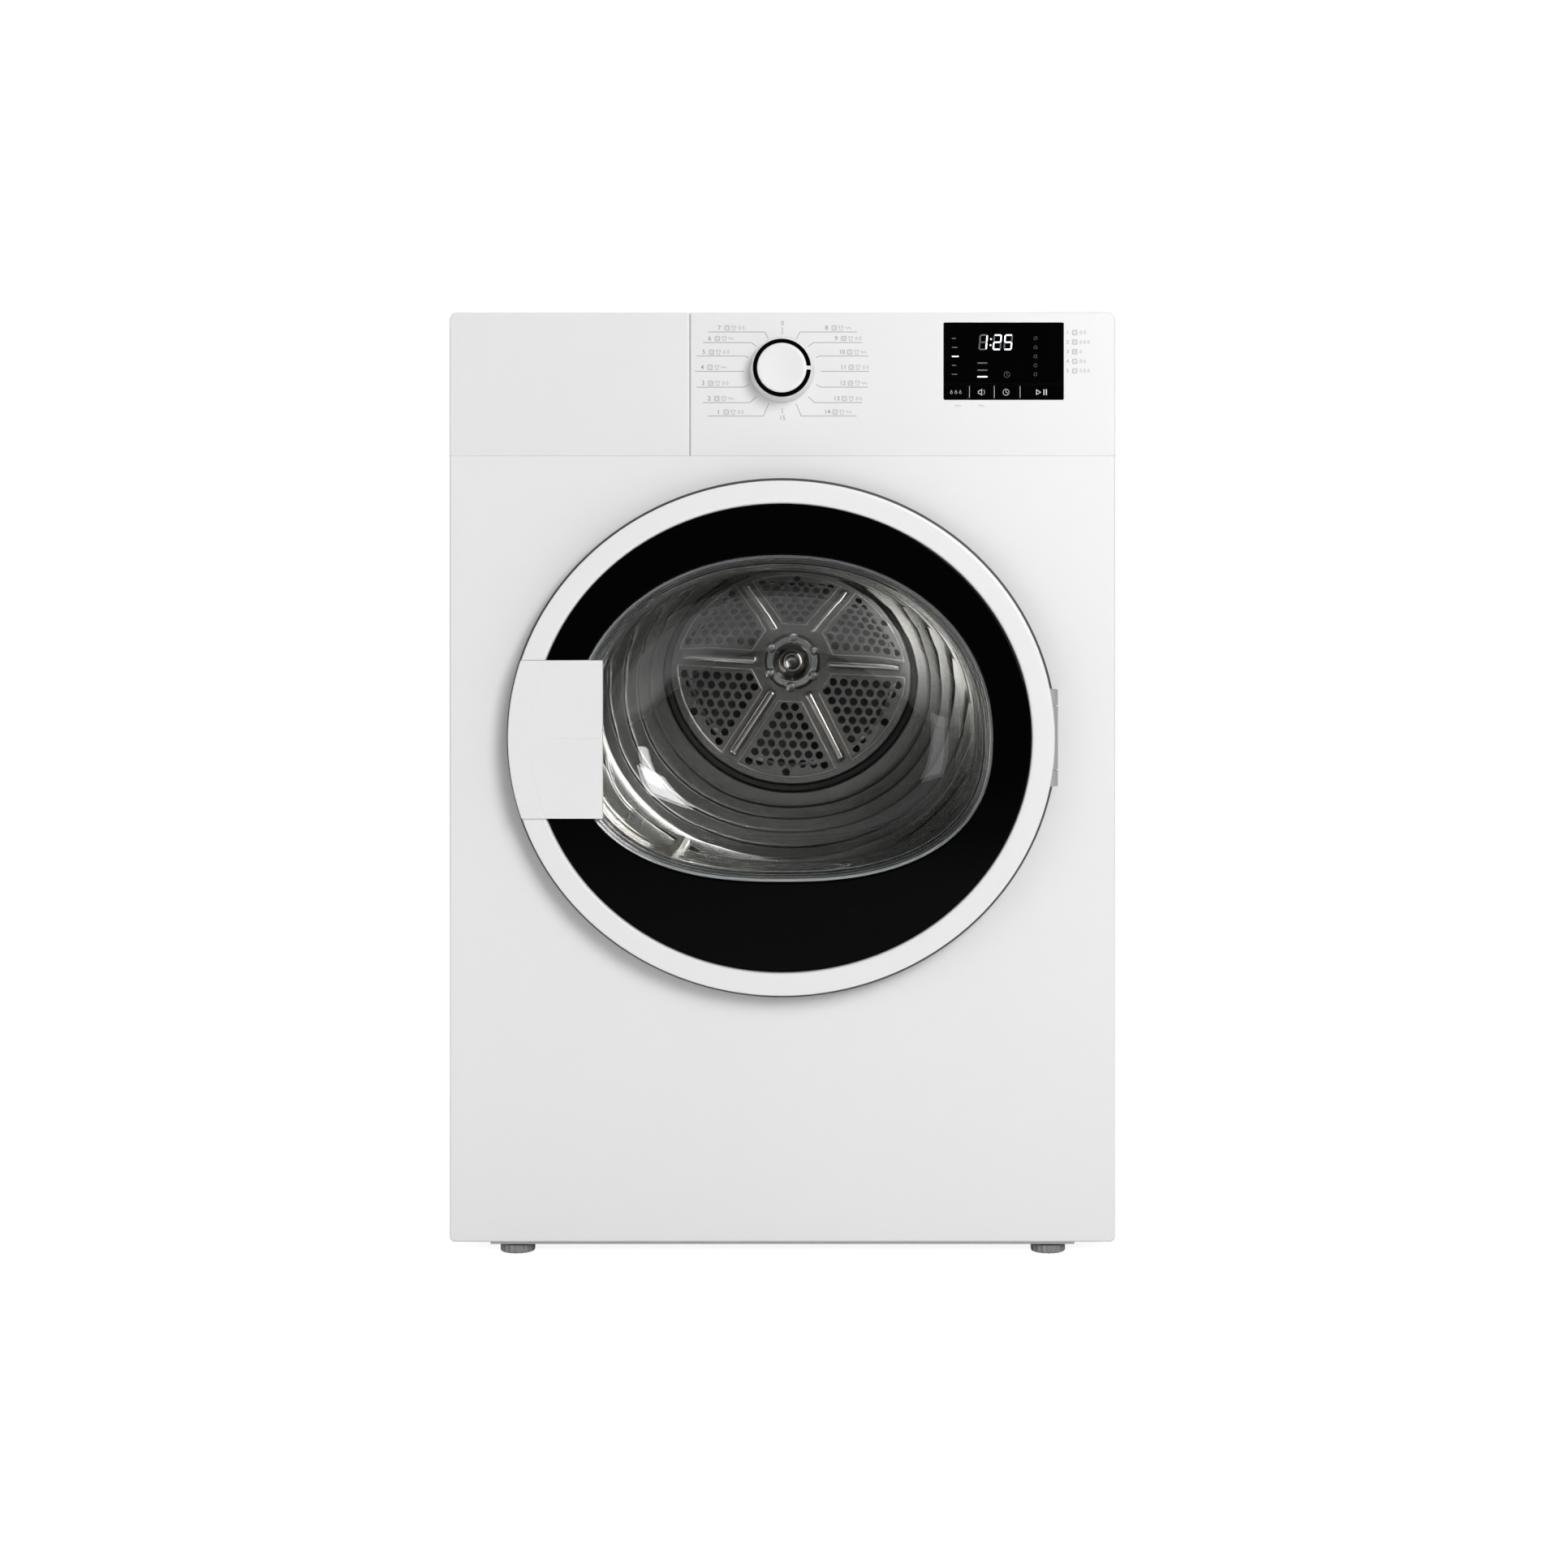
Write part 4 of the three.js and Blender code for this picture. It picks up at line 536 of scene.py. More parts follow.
def clear(name, colour, roughness, **settings):
    """Clear glass with a faint film on it. Light from the lamps passes straight through to what is behind."""
    material, tree, shader = bare_material(name, {"Transmission Weight": 1.0, "IOR": 1.45, **settings})
    tone = use(tree, TONE, {"Colour": (*colour, 1), "Drift": 0.02, "Scale": 9.0, "Roughness": roughness,
                            "Rough Drift": 0.03})
    tree.links.new(tone.outputs["Colour"], shader.inputs["Base Color"])
    tree.links.new(tone.outputs["Roughness"], shader.inputs["Roughness"])
    path = node(tree, "ShaderNodeLightPath")
    open_way = node(tree, "ShaderNodeBsdfTransparent", {"Color": (0.86, 0.88, 0.87, 1)})
    mix = node(tree, "ShaderNodeMixShader")
    tree.links.new(path.outputs["Is Shadow Ray"], mix.inputs["Fac"])
    tree.links.new(shader.outputs[0], mix.inputs[1])
    tree.links.new(open_way.outputs[0], mix.inputs[2])
    tree.links.new(mix.outputs[0], tree.nodes["Material Output"].inputs["Surface"])
    return material


def glowing(name, colour, power):
    material, tree, shader = bare_material(name, {"Emission Strength": power, "Roughness": 0.3})
    tone = use(tree, TONE, {"Colour": (*colour, 1), "Drift": 0.08, "Scale": 400.0, "Roughness": 0.3})
    tree.links.new(tone.outputs["Colour"], shader.inputs["Base Color"])
    tree.links.new(tone.outputs["Colour"], shader.inputs["Emission Color"])
    return material


WHITE = (0.85, 0.845, 0.845)
FINISH = {
    "white_enamel": coated("white_enamel", WHITE, 0.36, grain=700, bump=0.06, **{"Coat Weight": 0.15}),
    "worktop_laminate": coated("worktop_laminate", (0.82, 0.815, 0.81), 0.5, grain=1500, bump=0.16),
    "white_plastic": coated("white_plastic", (0.83, 0.825, 0.825), 0.32, grain=1300, bump=0.05),
    "door_white": coated("door_white", (0.84, 0.835, 0.835), 0.24, grain=1300, bump=0.03),
    "black_gloss": coated("black_gloss", (0.0010, 0.0010, 0.0011), 0.06, drift=0.2, grain=300, bump=0.006,
                          edge=(0.002, 0.002, 0.002), **{"Specular IOR Level": 0.05}),
    "clear_glass": clear("clear_glass", (0.93, 0.95, 0.945), 0.01),
    "grey_plastic": coated("grey_plastic", (0.30, 0.305, 0.31), 0.5, grain=1100, bump=0.12),
    # mid-grey as painted shade: the white hinge bracket and steel leaf are tinted to stand for the shade they
    # sit in
    "hinge_painted_shade_grey": coated("hinge_painted_shade_grey", (0.36, 0.36, 0.355), 0.45, grain=1100, bump=0.1),
    # near-black, painted shade: the dark gap line round the door's outer edge
    "door_gap_painted_shade": coated("door_gap_painted_shade", (0.055, 0.055, 0.055), 0.45, grain=1100, bump=0.08),
    "dark_plastic": coated("dark_plastic", (0.028, 0.028, 0.03), 0.48, grain=1100, bump=0.12,
                           edge=(0.06, 0.06, 0.06)),
    "foot_plastic": coated("foot_plastic", (0.27, 0.275, 0.28), 0.5, grain=1100, bump=0.12),
    "lip_grey": coated("lip_grey", (0.40, 0.40, 0.405), 0.5, grain=1100, bump=0.1),
    # galvanised tinted nearly black as painted shade: the duct is seen only through the drum's holes
    "duct_painted_shade_steel": spangled("duct_painted_shade_steel", (0.10, 0.10, 0.10), 0.5),
    "drum_steel": metal("drum_steel", (0.40, 0.38, 0.35), 0.16, lines=(3.0, 60.0, 3.0), contrast=0.08,
                        bump=0.015),
    # lighter than the back plate's steel, as painted highlight on the pressed ribs and beads; the hub rivets
    # share it
    "rib_highlight_steel": metal("rib_highlight_steel", (0.58, 0.565, 0.545), 0.2, lines=(14.0, 3.0, 14.0), contrast=0.05),
    "drum_back_steel": metal("drum_back_steel", (0.31, 0.30, 0.285), 0.2, lines=(14.0, 3.0, 14.0),
                             contrast=0.06, bump=0.012),
    "galvanised_steel": spangled("galvanised_steel", (0.56, 0.57, 0.58), 0.34),
    "machined_steel": metal("machined_steel", (0.6, 0.6, 0.61), 0.22, lines=(40.0, 1.5, 40.0)),
    "motor_aluminium": metal("motor_aluminium", (0.5, 0.5, 0.51), 0.42, lines=(8.0, 60.0, 8.0),
                             contrast=0.3),
    "black_rubber": coated("black_rubber", (0.018, 0.018, 0.018), 0.7, grain=600, bump=0.2,
                           edge=(0.05, 0.05, 0.05)),
    "felt": coated("felt", (0.34, 0.33, 0.31), 0.95, drift=0.3, scale=160.0, grain=2400, bump=0.6),
    "circuit_board": coated("circuit_board", (0.02, 0.12, 0.055), 0.4, drift=0.25, scale=220.0, grain=500),
}
PRINT_GREY = coated("print_grey", (0.33, 0.33, 0.335), 0.5, grain=2000, bump=0.0)
PRINT_WHITE = coated("print_white", (0.72, 0.73, 0.74), 0.5, grain=2000, bump=0.0)
PRINT_DIM = coated("print_dim", (0.08, 0.085, 0.09), 0.4, grain=2000, bump=0.0)
LAMP_WHITE = glowing("lamp_white", (0.92, 0.96, 1.0), 1.1)

for item in frame["record"]["subparts"]:
    # the heater duct gets the nearly black galvanised finish, painted shade behind the drum's holes
    finish_of = FINISH["duct_painted_shade_steel" if item["node"] == "heater_duct" else item["material_slot"]]
    for holder in NODES[item["node"]].material_slots:
        holder.material = finish_of
    if not NODES[item["node"]].material_slots:
        NODES[item["node"]].data.materials.append(finish_of)


# ---- cabinet -------------------------------------------------------------------------------------

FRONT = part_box("front_panel")
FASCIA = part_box("control_fascia")
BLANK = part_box("fascia_blank_cover")
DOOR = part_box("door_outer_ring")
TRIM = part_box("door_window_trim")
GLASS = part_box("door_glass_bowl")
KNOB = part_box("programme_knob")
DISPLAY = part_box("display_window")
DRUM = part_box("drum_shell")
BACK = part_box("drum_rear_wall")
FASCIA_Y = FACE_Y - 0.0003  # the covers stand a little proud, so the seam below them stays faint
DOOR_Z = (DOOR[0].z + DOOR[1].z) / 2
DOOR_HIGH = (DOOR[1].z - DOOR[0].z) / 2
STRETCH = (DOOR[1].x - DOOR[0].x) / 2 - DOOR_HIGH
DOOR_X = (DOOR[0].x + DOOR[1].x) / 2
MOUTH_SIDE = 0.1878
MOUTH_UP = 0.1625
MOUTH_DOWN = 0.128
MOUTH_Z = DOOR_Z + (MOUTH_UP - MOUTH_DOWN) / 2
MOUTH_HALF = (MOUTH_UP + MOUTH_DOWN) / 2
DRUM_Z = (DRUM[0].z + DRUM[1].z) / 2
KNOB_X = (KNOB[0].x + KNOB[1].x) / 2
KNOB_Z = (KNOB[0].z + KNOB[1].z) / 2
COVER_WALL = 0.0028
COVER_CORNER = 0.0075


def mouth_loop(name, y, margin, steps=144):
    """The rounded, flat-bottomed outline of the loading mouth."""
    piece = loop(name, (0, y, DOOR_Z), 1, 1, steps)
    for v in piece.data.vertices:
        across, up = v.co.x, v.co.z - DOOR_Z
        tall, power = (MOUTH_UP, 2.1) if up > 0 else (MOUTH_DOWN, 2.45)
        near = (abs(across) / (MOUTH_SIDE + margin)) ** power + (abs(up) / (tall + margin)) ** power
        size = near ** (-1 / power)
        v.co.x, v.co.z = across * size, DOOR_Z + up * size
    return piece


def mouth_shell(name, stations, steps=144, closed=True, caps=(False, False)):
    """A shell round the mouth. A station is (margin, y)."""
    sized = [(MOUTH_SIDE + m, MOUTH_HALF + m, y) for m, y in stations]
    piece = mouth_loop(name, stations[0][1], stations[0][0], steps)
    return raise_loop(piece, (0, 0, MOUTH_Z), sized, closed, caps)


def door_ring(name, stations, steps=160, closed=True, caps=(False, False)):
    """A ring of the door's own oval. A station is (half height, y)."""
    return turned(name, (0, 0, DOOR_Z), [(r + STRETCH, r, y) for r, y in stations], steps, closed, caps)


def corner_posts(piece, radius, where):
    """Rounds the edges that run from front to back at chosen corners."""
    edit(piece, "EDGE")
    bpy.ops.object.mode_set(mode="OBJECT")
    mesh = piece.data
    for group in (mesh.vertices, mesh.edges, mesh.polygons):
        for part in group:
            part.select = False
    for e in mesh.edges:
        a, b = (mesh.vertices[k].co for k in e.vertices)
        e.select = abs(a.x - b.x) < 1e-6 and abs(a.z - b.z) < 1e-6 and where(a)
    bpy.ops.object.mode_set(mode="EDIT")
    bpy.ops.mesh.select_mode(type="EDGE")
    bpy.ops.mesh.bevel(offset=radius, segments=6, affect="EDGES")
    bpy.ops.object.mode_set(mode="OBJECT")
    return piece


def plate(name, low, high, radius, where, soften=0.0012):
    """A plate facing the front with chosen corners rounded and its front edges softened."""
    piece = corner_posts(box(name, low, high), radius, where)
    return bevel(piece, soften, 3, 40)


def front_panel():
    """The white steel front: a shallow pan with the loading mouth cut through it."""
    low, high = FRONT
    skin = box("front_skin", low, (high.x, high.y, high.z + 0.01))
    corner_posts(skin, 0.0045, lambda c: c.z < low.z + 0.01)
    bevel(skin, 0.0022, 4, 50)
    hollow = box("hollow", (low.x + SHEET, low.y + SHEET, low.z + SHEET),
                 (high.x - SHEET, high.y + PAST, high.z + PAST))
    way = mouth_shell("way", [(0.012, low.y - 0.01), (0.012, high.y + 0.02)], 144, False, (True, True))
    trim = box("trim", (low.x - 0.01, low.y - 0.01, high.z), (high.x + 0.01, high.y + 0.01, high.z + 0.02))
    panel = combine("front_panel_skin", [skin, hollow, way, trim])
    finish(panel, FINISH["white_enamel"], "root", "white_enamel", "front_panel", angle=30)


def base_lip():
    """The grey edge strip under the front panel, just behind its lower edge."""
    low = FRONT[0]
    strip = box("base_lip", (-0.262, low.y + 0.0022, low.z - 0.0022),
                (0.262, low.y + 0.0080, low.z + 0.0012), 0.0007, 2)
    finish(strip, FINISH["lip_grey"], "root", "grey_plastic")


def hollow_cover(name, node_name, low, high, at_corner, cuts):
    """A moulded cover, open at the back, with one top corner rounded. Its wall is COVER_WALL thick."""
    wall = COVER_WALL
    low = Vector((low.x, FASCIA_Y, low.z - 0.00015))
    outer = plate(name, (low.x, low.y, low.z - PAST), high, COVER_CORNER, at_corner, 0.0018)
    inner = box("inner", (low.x + wall, low.y + wall, low.z + wall),
                (high.x - wall, high.y + 0.01, high.z - wall))
    trim = box("trim", (low.x - 0.01, low.y - 0.01, low.z - 0.02), (high.x + 0.01, high.y + 0.01, low.z))
    piece = combine(name, [outer, inner, trim] + cuts)
    finish(piece, FINISH["white_plastic"], "root", "white_plastic", node_name, angle=30)


def control_panel():
    """The two covers of the control panel, with the knob well and the display bay in the right one."""
    low, high = FASCIA
    well = turned("knob_well", (KNOB_X, 0, KNOB_Z), [(0.012, FASCIA_Y - 0.01), (0.012, FASCIA_Y + 0.03)],
                  48, False,
                  (True, True))
    bay = box("display_bay", (DISPLAY[0].x - 0.0003, low.y - 0.01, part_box("key_start")[0].z - 0.0004),
              (DISPLAY[1].x + 0.0003, low.y + 0.03, DISPLAY[1].z + 0.0003), 0.0012, 2)
    top = high.z - 0.002
    hollow_cover("control_fascia_cover", "control_fascia", low, high,
                 lambda c: c.z > top and c.x > high.x - 0.002, [well, bay])
    hollow_cover("fascia_left_cover", "fascia_blank_cover", BLANK[0], BLANK[1],
                 lambda c: c.z > top and c.x < BLANK[0].x + 0.002, [])


def side_skins():
    """The sheet parts round the cabinet keep their shape and get their edges rounded."""
    for name in ("left_side_panel", "right_side_panel"):
        panel = refined(name, 0.0012, 3)
        finish(panel, FINISH["white_enamel"], "root", "white_enamel", name)
    worktop = refined("top_panel", 0.0035, 4)
    finish(worktop, FINISH["worktop_laminate"], "root", "worktop_laminate", "top_panel")
    rear = refined("rear_panel", 0.0007, 2)
    finish(rear, FINISH["galvanised_steel"], "root", "galvanised_steel", "rear_panel")
    pan = refined("base_pan", 0.001, 2)
    finish(pan, FINISH["grey_plastic"], "root", "grey_plastic", "base_pan")


front_panel()
base_lip()
control_panel()
side_skins()


# ---- door ----------------------------------------------------------------------------------------

RING_BAND = 0.0204
SHADE_BAND_PROUD = 0.0024
HANDLE_GAP = 0.0003
OUT = DOOR[0].y
SEAT = DOOR[1].y


def handle_cut(extra):
    low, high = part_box("door_handle")
    return box("handle_bay", (low.x - 0.02, OUT - 0.01, low.z - extra),
               (high.x + extra, SEAT + 0.02, high.z + extra))


def hinge_bay():
    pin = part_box("hinge_bracket")
    return box("hinge_bay", (pin[0].x - 0.001, SEAT - 0.0215, pin[0].z - 0.0006),
               (pin[1].x + 0.02, SEAT + 0.02, pin[1].z + 0.0006))


def outer_ring():
    """The white ring: a satin band with a crisp outer edge, on a near-black band a little wider than it that
    is painted shade for the gap round the door.
    """
    r = DOOR_HIGH
    edge = r - 0.0001
    inner = r - RING_BAND
    stations = [
        (edge - 0.0012, OUT + 0.0095), (edge - 0.0002, OUT + 0.0085), (edge, OUT + 0.0070),
        (edge - 0.0001, OUT + 0.0016),
        (edge - 0.0005, OUT + 0.0006), (edge - 0.0013, OUT + 0.0001), (edge - 0.0030, OUT),
        (inner + 0.0036, OUT), (inner + 0.0016, OUT + 0.0001), (inner + 0.0007, OUT + 0.0006),
        (inner, OUT + 0.0018), (inner - 0.0002, OUT + 0.0068), (inner + 0.0030, OUT + 0.0068),
        (inner + 0.0034, OUT + 0.0040), (edge - 0.0045, OUT + 0.0042), (edge - 0.0040, OUT + 0.0095),
    ]
    ring = door_ring("door_ring_band", stations)
    ring = combine("door_ring_band", [ring, handle_cut(HANDLE_GAP)])
    finish(ring, FINISH["door_white"], "door", "white_plastic", "door_outer_ring", angle=32)
    # a near-black band just wider than the ring, painted shade for the gap round the door's edge
    wide = r + SHADE_BAND_PROUD
    wall = door_ring("door_gap_shade_band", [
        (r - 0.0040, SEAT), (wide - 0.0012, SEAT - 0.0004), (wide, SEAT - 0.0020), (wide, SEAT - 0.0150),
        (wide - 0.0008, SEAT - 0.0162), (wide - 0.0020, SEAT - 0.0166), (r - 0.0070, SEAT - 0.0166),
        (r - 0.0070, SEAT - 0.0140), (r - 0.0060, SEAT)])
    wall = combine("door_gap_shade_band", [wall, hinge_bay()])
    finish(wall, FINISH["door_gap_painted_shade"], "door", "white_plastic", angle=40)


def window_trim():
    """The black gloss pane that frames the glass: an oval outside, the mouth's outline inside."""
    r = DOOR_HIGH - RING_BAND - 0.0004
    front, rear = TRIM[0].y, TRIM[1].y
    outside = door_ring("door_black_pane", [(r, rear), (r, front + 0.0008), (r - 0.0003, front + 0.0002),
                                            (r - 0.0008, front), (r - 0.0018, front)], 144, False)
    inside = mouth_shell("inside", [(0.0020, front), (0.0008, front), (0.0002, front + 0.0002),
                                    (0, front + 0.0007),
                                    (-0.0002, rear)], 144, False)
    pane = merge("door_black_pane", [outside, inside])
    middle = (front + rear) / 2
    for wanted in (lambda c: c.y < middle, lambda c: c.y > middle):
        edit(pane)
        bpy.ops.mesh.select_non_manifold()
        bpy.ops.object.mode_set(mode="OBJECT")
        for v in pane.data.vertices:
            v.select = v.select and wanted(v.co)
        for e in pane.data.edges:
            e.select = all(pane.data.vertices[k].select for k in e.vertices) and e.select
        bpy.ops.object.mode_set(mode="EDIT")
        bpy.ops.mesh.bridge_edge_loops()
        bpy.ops.mesh.select_all(action="SELECT")
        bpy.ops.mesh.normals_make_consistent(inside=False)
        bpy.ops.object.mode_set(mode="OBJECT")
    pane = combine("door_black_pane", [pane, handle_cut(HANDLE_GAP)])
    finish(pane, FINISH["black_gloss"], "door", "black_gloss", "door_window_trim", angle=40)


def glass_bowl():
    """A thick clear bowl: rolled rim, stepped side wall that leans in, and a flat oval bottom."""
    front = GLASS[0].y
    deep = GLASS[1].y
    outside = [
        (0.0074, front + 0.0045), (0.0060, front + 0.0078), (-0.0010, front + 0.009),
        (-0.0035, front + 0.014),
        (-0.0052, front + 0.026), (-0.0075, front + 0.045), (-0.0120, front + 0.062),
        (-0.0200, front + 0.077),
        (-0.0330, front + 0.089), (-0.0500, deep - 0.003), (-0.0700, deep), (-0.100, deep),
    ]
    inside = [
        (-0.100, deep - 0.004), (-0.0700, deep - 0.004), (-0.0515, deep - 0.0068),
        (-0.0360, front + 0.0855),
        (-0.0238, front + 0.0738), (-0.0162, front + 0.0595), (-0.0118, front + 0.044),
        (-0.0098, front + 0.026),
        (-0.0086, front + 0.0150), (-0.0078, front + 0.0100), (-0.0079, front + 0.0080),
        (-0.0066, front + 0.0068),
        (-0.0060, front + 0.0040), (-0.0046, front + 0.0034), (-0.0038, front + 0.0018),
        (-0.0024, front + 0.0015),
        (-0.0016, front + 0.0005), (0.0002, front + 0.0001), (0.0006, front + 0.0035),
        (0.0066, front + 0.0038),
    ]
    bowl = mouth_shell("door_glass", outside + inside, 160, True)
    finish(bowl, FINISH["clear_glass"], "door", "clear_glass", "door_glass_bowl", angle=50)


def rim_ribs():
    """Fine ribs pressed into the glass just inside the lower rim."""
    front = GLASS[0].y
    rib = box("rib", (-0.00035, front + 0.0104, -0.0024), (0.00035, front + 0.0112, 0.0024), 0.0002, 1)
    ribs = []
    count = 150
    outline = mouth_loop("rib_line", front, -0.0064, 720)
    points = [v.co.copy() for v in outline.data.vertices if v.co.z < DOOR_Z - 0.03]
    bpy.data.objects.remove(outline)
    points.sort(key=lambda p: math.atan2(p.x, DOOR_Z - p.z))
    for k in range(count):
        p = points[int(k * (len(points) - 1) / (count - 1))]
        turn = math.atan2(p.x, DOOR_Z - p.z)
        placed = moved(copy_of(rib, "rib_copy"), (p.x, 0, p.z))
        ribs.append(moved(placed, turn=-turn, centre=(p.x, 0, p.z)))
    bpy.data.objects.remove(rib)
    finish(merge("door_glass_ribs", ribs), FINISH["clear_glass"], "door", "clear_glass")


def door_handle():
    """The white grip plate that fills the gap in the ring, with its crease and split line."""
    low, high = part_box("door_handle")
    r = DOOR_HIGH
    inner = r - RING_BAND
    blank = door_ring("handle_blank", [(r - 0.0030, high.y), (r - 0.0004, high.y - 0.0015),
                                       (r, high.y - 0.0040),
                                       (r, low.y + 0.0014), (r - 0.0006, low.y + 0.0004),
                                       (r - 0.0016, low.y)], 220, False, (True, True))
    keep = box("handle_keep", (low.x - 0.01, low.y - 0.01, low.z), (high.x, high.y + 0.01, high.z))
    grip = combine("handle_blank", [blank, keep], "INTERSECT")
    crease = door_ring("handle_crease", [(inner + 0.0012, low.y - 0.004), (inner + 0.0012, low.y + 0.0003),
                                         (inner + 0.0002, low.y + 0.0003), (inner + 0.0002, low.y - 0.004)],
                                         220)
    split = box("handle_split", (-0.207, low.y - 0.004, DOOR_Z - 0.0003),
                (high.x - 0.003, low.y + 0.0005, DOOR_Z + 0.0003))
    grip = combine("door_grip", [grip, crease, split])
    bevel(grip, 0.0005, 2, 50)
    finish(grip, FINISH["door_white"], "door", "white_plastic", "door_handle", angle=30)


def hinge_cover():
    """The bracket on the cabinet and the leaf on the door, both tinted mid-grey as painted shade on the
    hinge.
    """
    body = refined("hinge_bracket", 0.0024, 5)
    finish(body, FINISH["hinge_painted_shade_grey"], "root", "white_plastic", "hinge_bracket")
    leaf = refined("hinge_leaf", 0.0004, 2)
    finish(leaf, FINISH["hinge_painted_shade_grey"], "door", "galvanised_steel", "hinge_leaf")


outer_ring()
window_trim()
glass_bowl()
rim_ribs()
door_handle()
hinge_cover()


# ---- control panel -------------------------------------------------------------------------------

def programme_knob():
    """A white skirt, a black ring with a gap as its pointer, and a white cap dished a little at the front."""
    front = KNOB[0].y
    at = (KNOB_X, 0, KNOB_Z)
    skirt_stations = [
        (0.0285, FASCIA_Y - 0.0006), (0.029, FASCIA_Y - 0.0016), (0.0287, FASCIA_Y - 0.004),
        (0.0274, FASCIA_Y - 0.011),
        (0.0262, front + 0.0042), (0.0257, front + 0.0026), (0.0248, front + 0.0015),
        (0.0238, front + 0.0013),
        (0.0222, front + 0.0013), (0.0218, front + 0.0006), (0.0210, front + 0.0001), (0.0195, front),
        (0.0120, front + 0.0005), (0.004, front + 0.0008),
    ]
    skirt = turned("knob_white_body", at, skirt_stations, 144, False, (True, True))
    finish(skirt, FINISH["white_plastic"], "knob_body", "white_plastic", "programme_knob", angle=40)
    ring = turned("knob_black_ring", at, [(0.0259, front + 0.0034), (0.0258, front + 0.0014),
                                          (0.0253, front + 0.0007),
                                          (0.0228, front + 0.0005), (0.0221, front + 0.0009),
                                          (0.0221, front + 0.0030)],
                  144)
    gap = box("gap", (KNOB_X + 0.015, front - 0.01, KNOB_Z - 0.0018),
              (KNOB_X + 0.04, front + 0.02, KNOB_Z + 0.0018))
    ring = combine("knob_black_ring", [ring, gap])
    finish(ring, FINISH["black_gloss"], "knob_body", "black_gloss", angle=40)
    bridge = box("knob_pointer", (KNOB_X + 0.0215, front + 0.0006, KNOB_Z - 0.0017),
                 (KNOB_X + 0.0256, front + 0.0032, KNOB_Z + 0.0017), 0.0003, 2)
    finish(bridge, FINISH["white_plastic"], "knob_body", "white_plastic")


PRINT_DEEP = 0.00012


def print_bar():
    """One soft-edged bar, one unit each way, that every printed stroke is a copy of."""
    bar = box("print_bar", (-0.5, -0.5, -0.5), (0.5, 0.5, 0.5), 0.08, 1)
    mesh = bar.data
    bpy.data.objects.remove(bar)
    return mesh


PRINT_BAR = print_bar()


def stroke(points, width, surface):
    """A printed line along a path of (x, z) points, one bar for each straight run."""
    bars = []
    for (x0, z0), (x1, z1) in zip(points, points[1:]):
        long = math.hypot(x1 - x0, z1 - z0) + width * 0.9
        bar = bpy.data.objects.new("stroke", PRINT_BAR.copy())
        scene.collection.objects.link(bar)
        turn = Matrix.Rotation(-math.atan2(z1 - z0, x1 - x0), 4, "Y")
        place = Matrix.Translation(((x0 + x1) / 2, surface, (z0 + z1) / 2))
        bar.data.transform(place @ turn @ Matrix.Diagonal((long, 2 * PRINT_DEEP, width, 1)))
        bars.append(bar)
    return bars


def digits(text, x, z, size, surface, align="LEFT", weight=0.0):
    """Numbers as flat printed shapes."""
    deselect()
    bpy.ops.object.text_add()
    word = bpy.context.object
    word.data.body = text
    word.data.size = size
    word.data.align_x = align
    word.data.align_y = "CENTER"
    word.data.extrude = PRINT_DEEP
    word.data.offset = weight
    word.rotation_euler = (math.pi / 2, 0, 0)
    word.location = (x, surface, z)
    bpy.ops.object.convert(target="MESH")
    bpy.ops.object.transform_apply(location=True, rotation=True, scale=True)
    return bpy.context.object


def dot(x, z, r, surface, steps=20):
    return turned("dot", (x, 0, z), [(r, surface - PRINT_DEEP), (r * 0.97, surface - PRINT_DEEP * 1.1)],
                  steps, False,
                  (True, True))


def circle_line(x, z, r, width, surface, start=0.0, sweep=TAU, steps=20):
    points = [(x + r * math.cos(start + sweep * k / steps), z + r * math.sin(start + sweep * k / steps))
              for k in range(steps + 1)]
    return stroke(points, width, surface)


def temperature_drops(x, z, count, surface):
    """One to three small drops: a generic dryness mark."""
    marks = []
    for k in range(count):
        cx = x + k * 0.0034
        marks += circle_line(cx, z - 0.0004, 0.0009, 0.00028, surface, math.radians(130), math.radians(280),
                             8)
        marks += stroke([(cx - 0.0007, z + 0.0002), (cx, z + 0.0017), (cx + 0.0007, z + 0.0002)], 0.00028,
                        surface)
    return marks


def dryer_symbol(x, z, dots, surface):
    """The laundry sign for tumble drying: a square, a circle and heat dots."""
    s = 0.0021
    marks = stroke([(x - s, z - s), (x + s, z - s), (x + s, z + s), (x - s, z + s), (x - s, z - s)], 0.0003,
                   surface)
    marks += circle_line(x, z, s * 0.8, 0.00028, surface, steps=12)
    marks += [dot(x + (k - (dots - 1) / 2) * 0.001, z, 0.00032, surface, 8) for k in range(dots)]
    return marks


def shirt_symbol(x, z, surface):
    outline = [(-2.1, 1.3), (-1.0, 2.0), (-0.4, 1.6), (0.4, 1.6), (1.0, 2.0), (2.1, 1.3), (1.7, 0.4),
               (1.1, 0.7),
               (1.1, -2.0), (-1.1, -2.0), (-1.1, 0.7), (-1.7, 0.4), (-2.1, 1.3)]
    return stroke([(x + px * MM, z + pz * MM) for px, pz in outline], 0.0003, surface)


def wave_symbol(x, z, surface):
    steps = 12
    return stroke([(x - 0.0026 + 0.0052 * k / steps, z + 0.0009 * math.sin(TAU * 2 * k / steps))
                   for k in range(steps + 1)], 0.0003, surface)


def label(middle, z, number, kind, surface):
    """A row of generic marks as wide as a short word, with a number at its outer end."""
    marks = [digits(number, middle - 0.0085, z, 0.0056, surface, "CENTER", 0.00004)]
    marks += dryer_symbol(middle - 0.0016, z, 1 + kind % 3, surface)
    marks += shirt_symbol(middle + 0.0046, z, surface)
    marks += wave_symbol(middle + 0.0108, z, surface) if kind % 2 else temperature_drops(middle + 0.0098, z,
                                                                                         2, surface)
    return marks


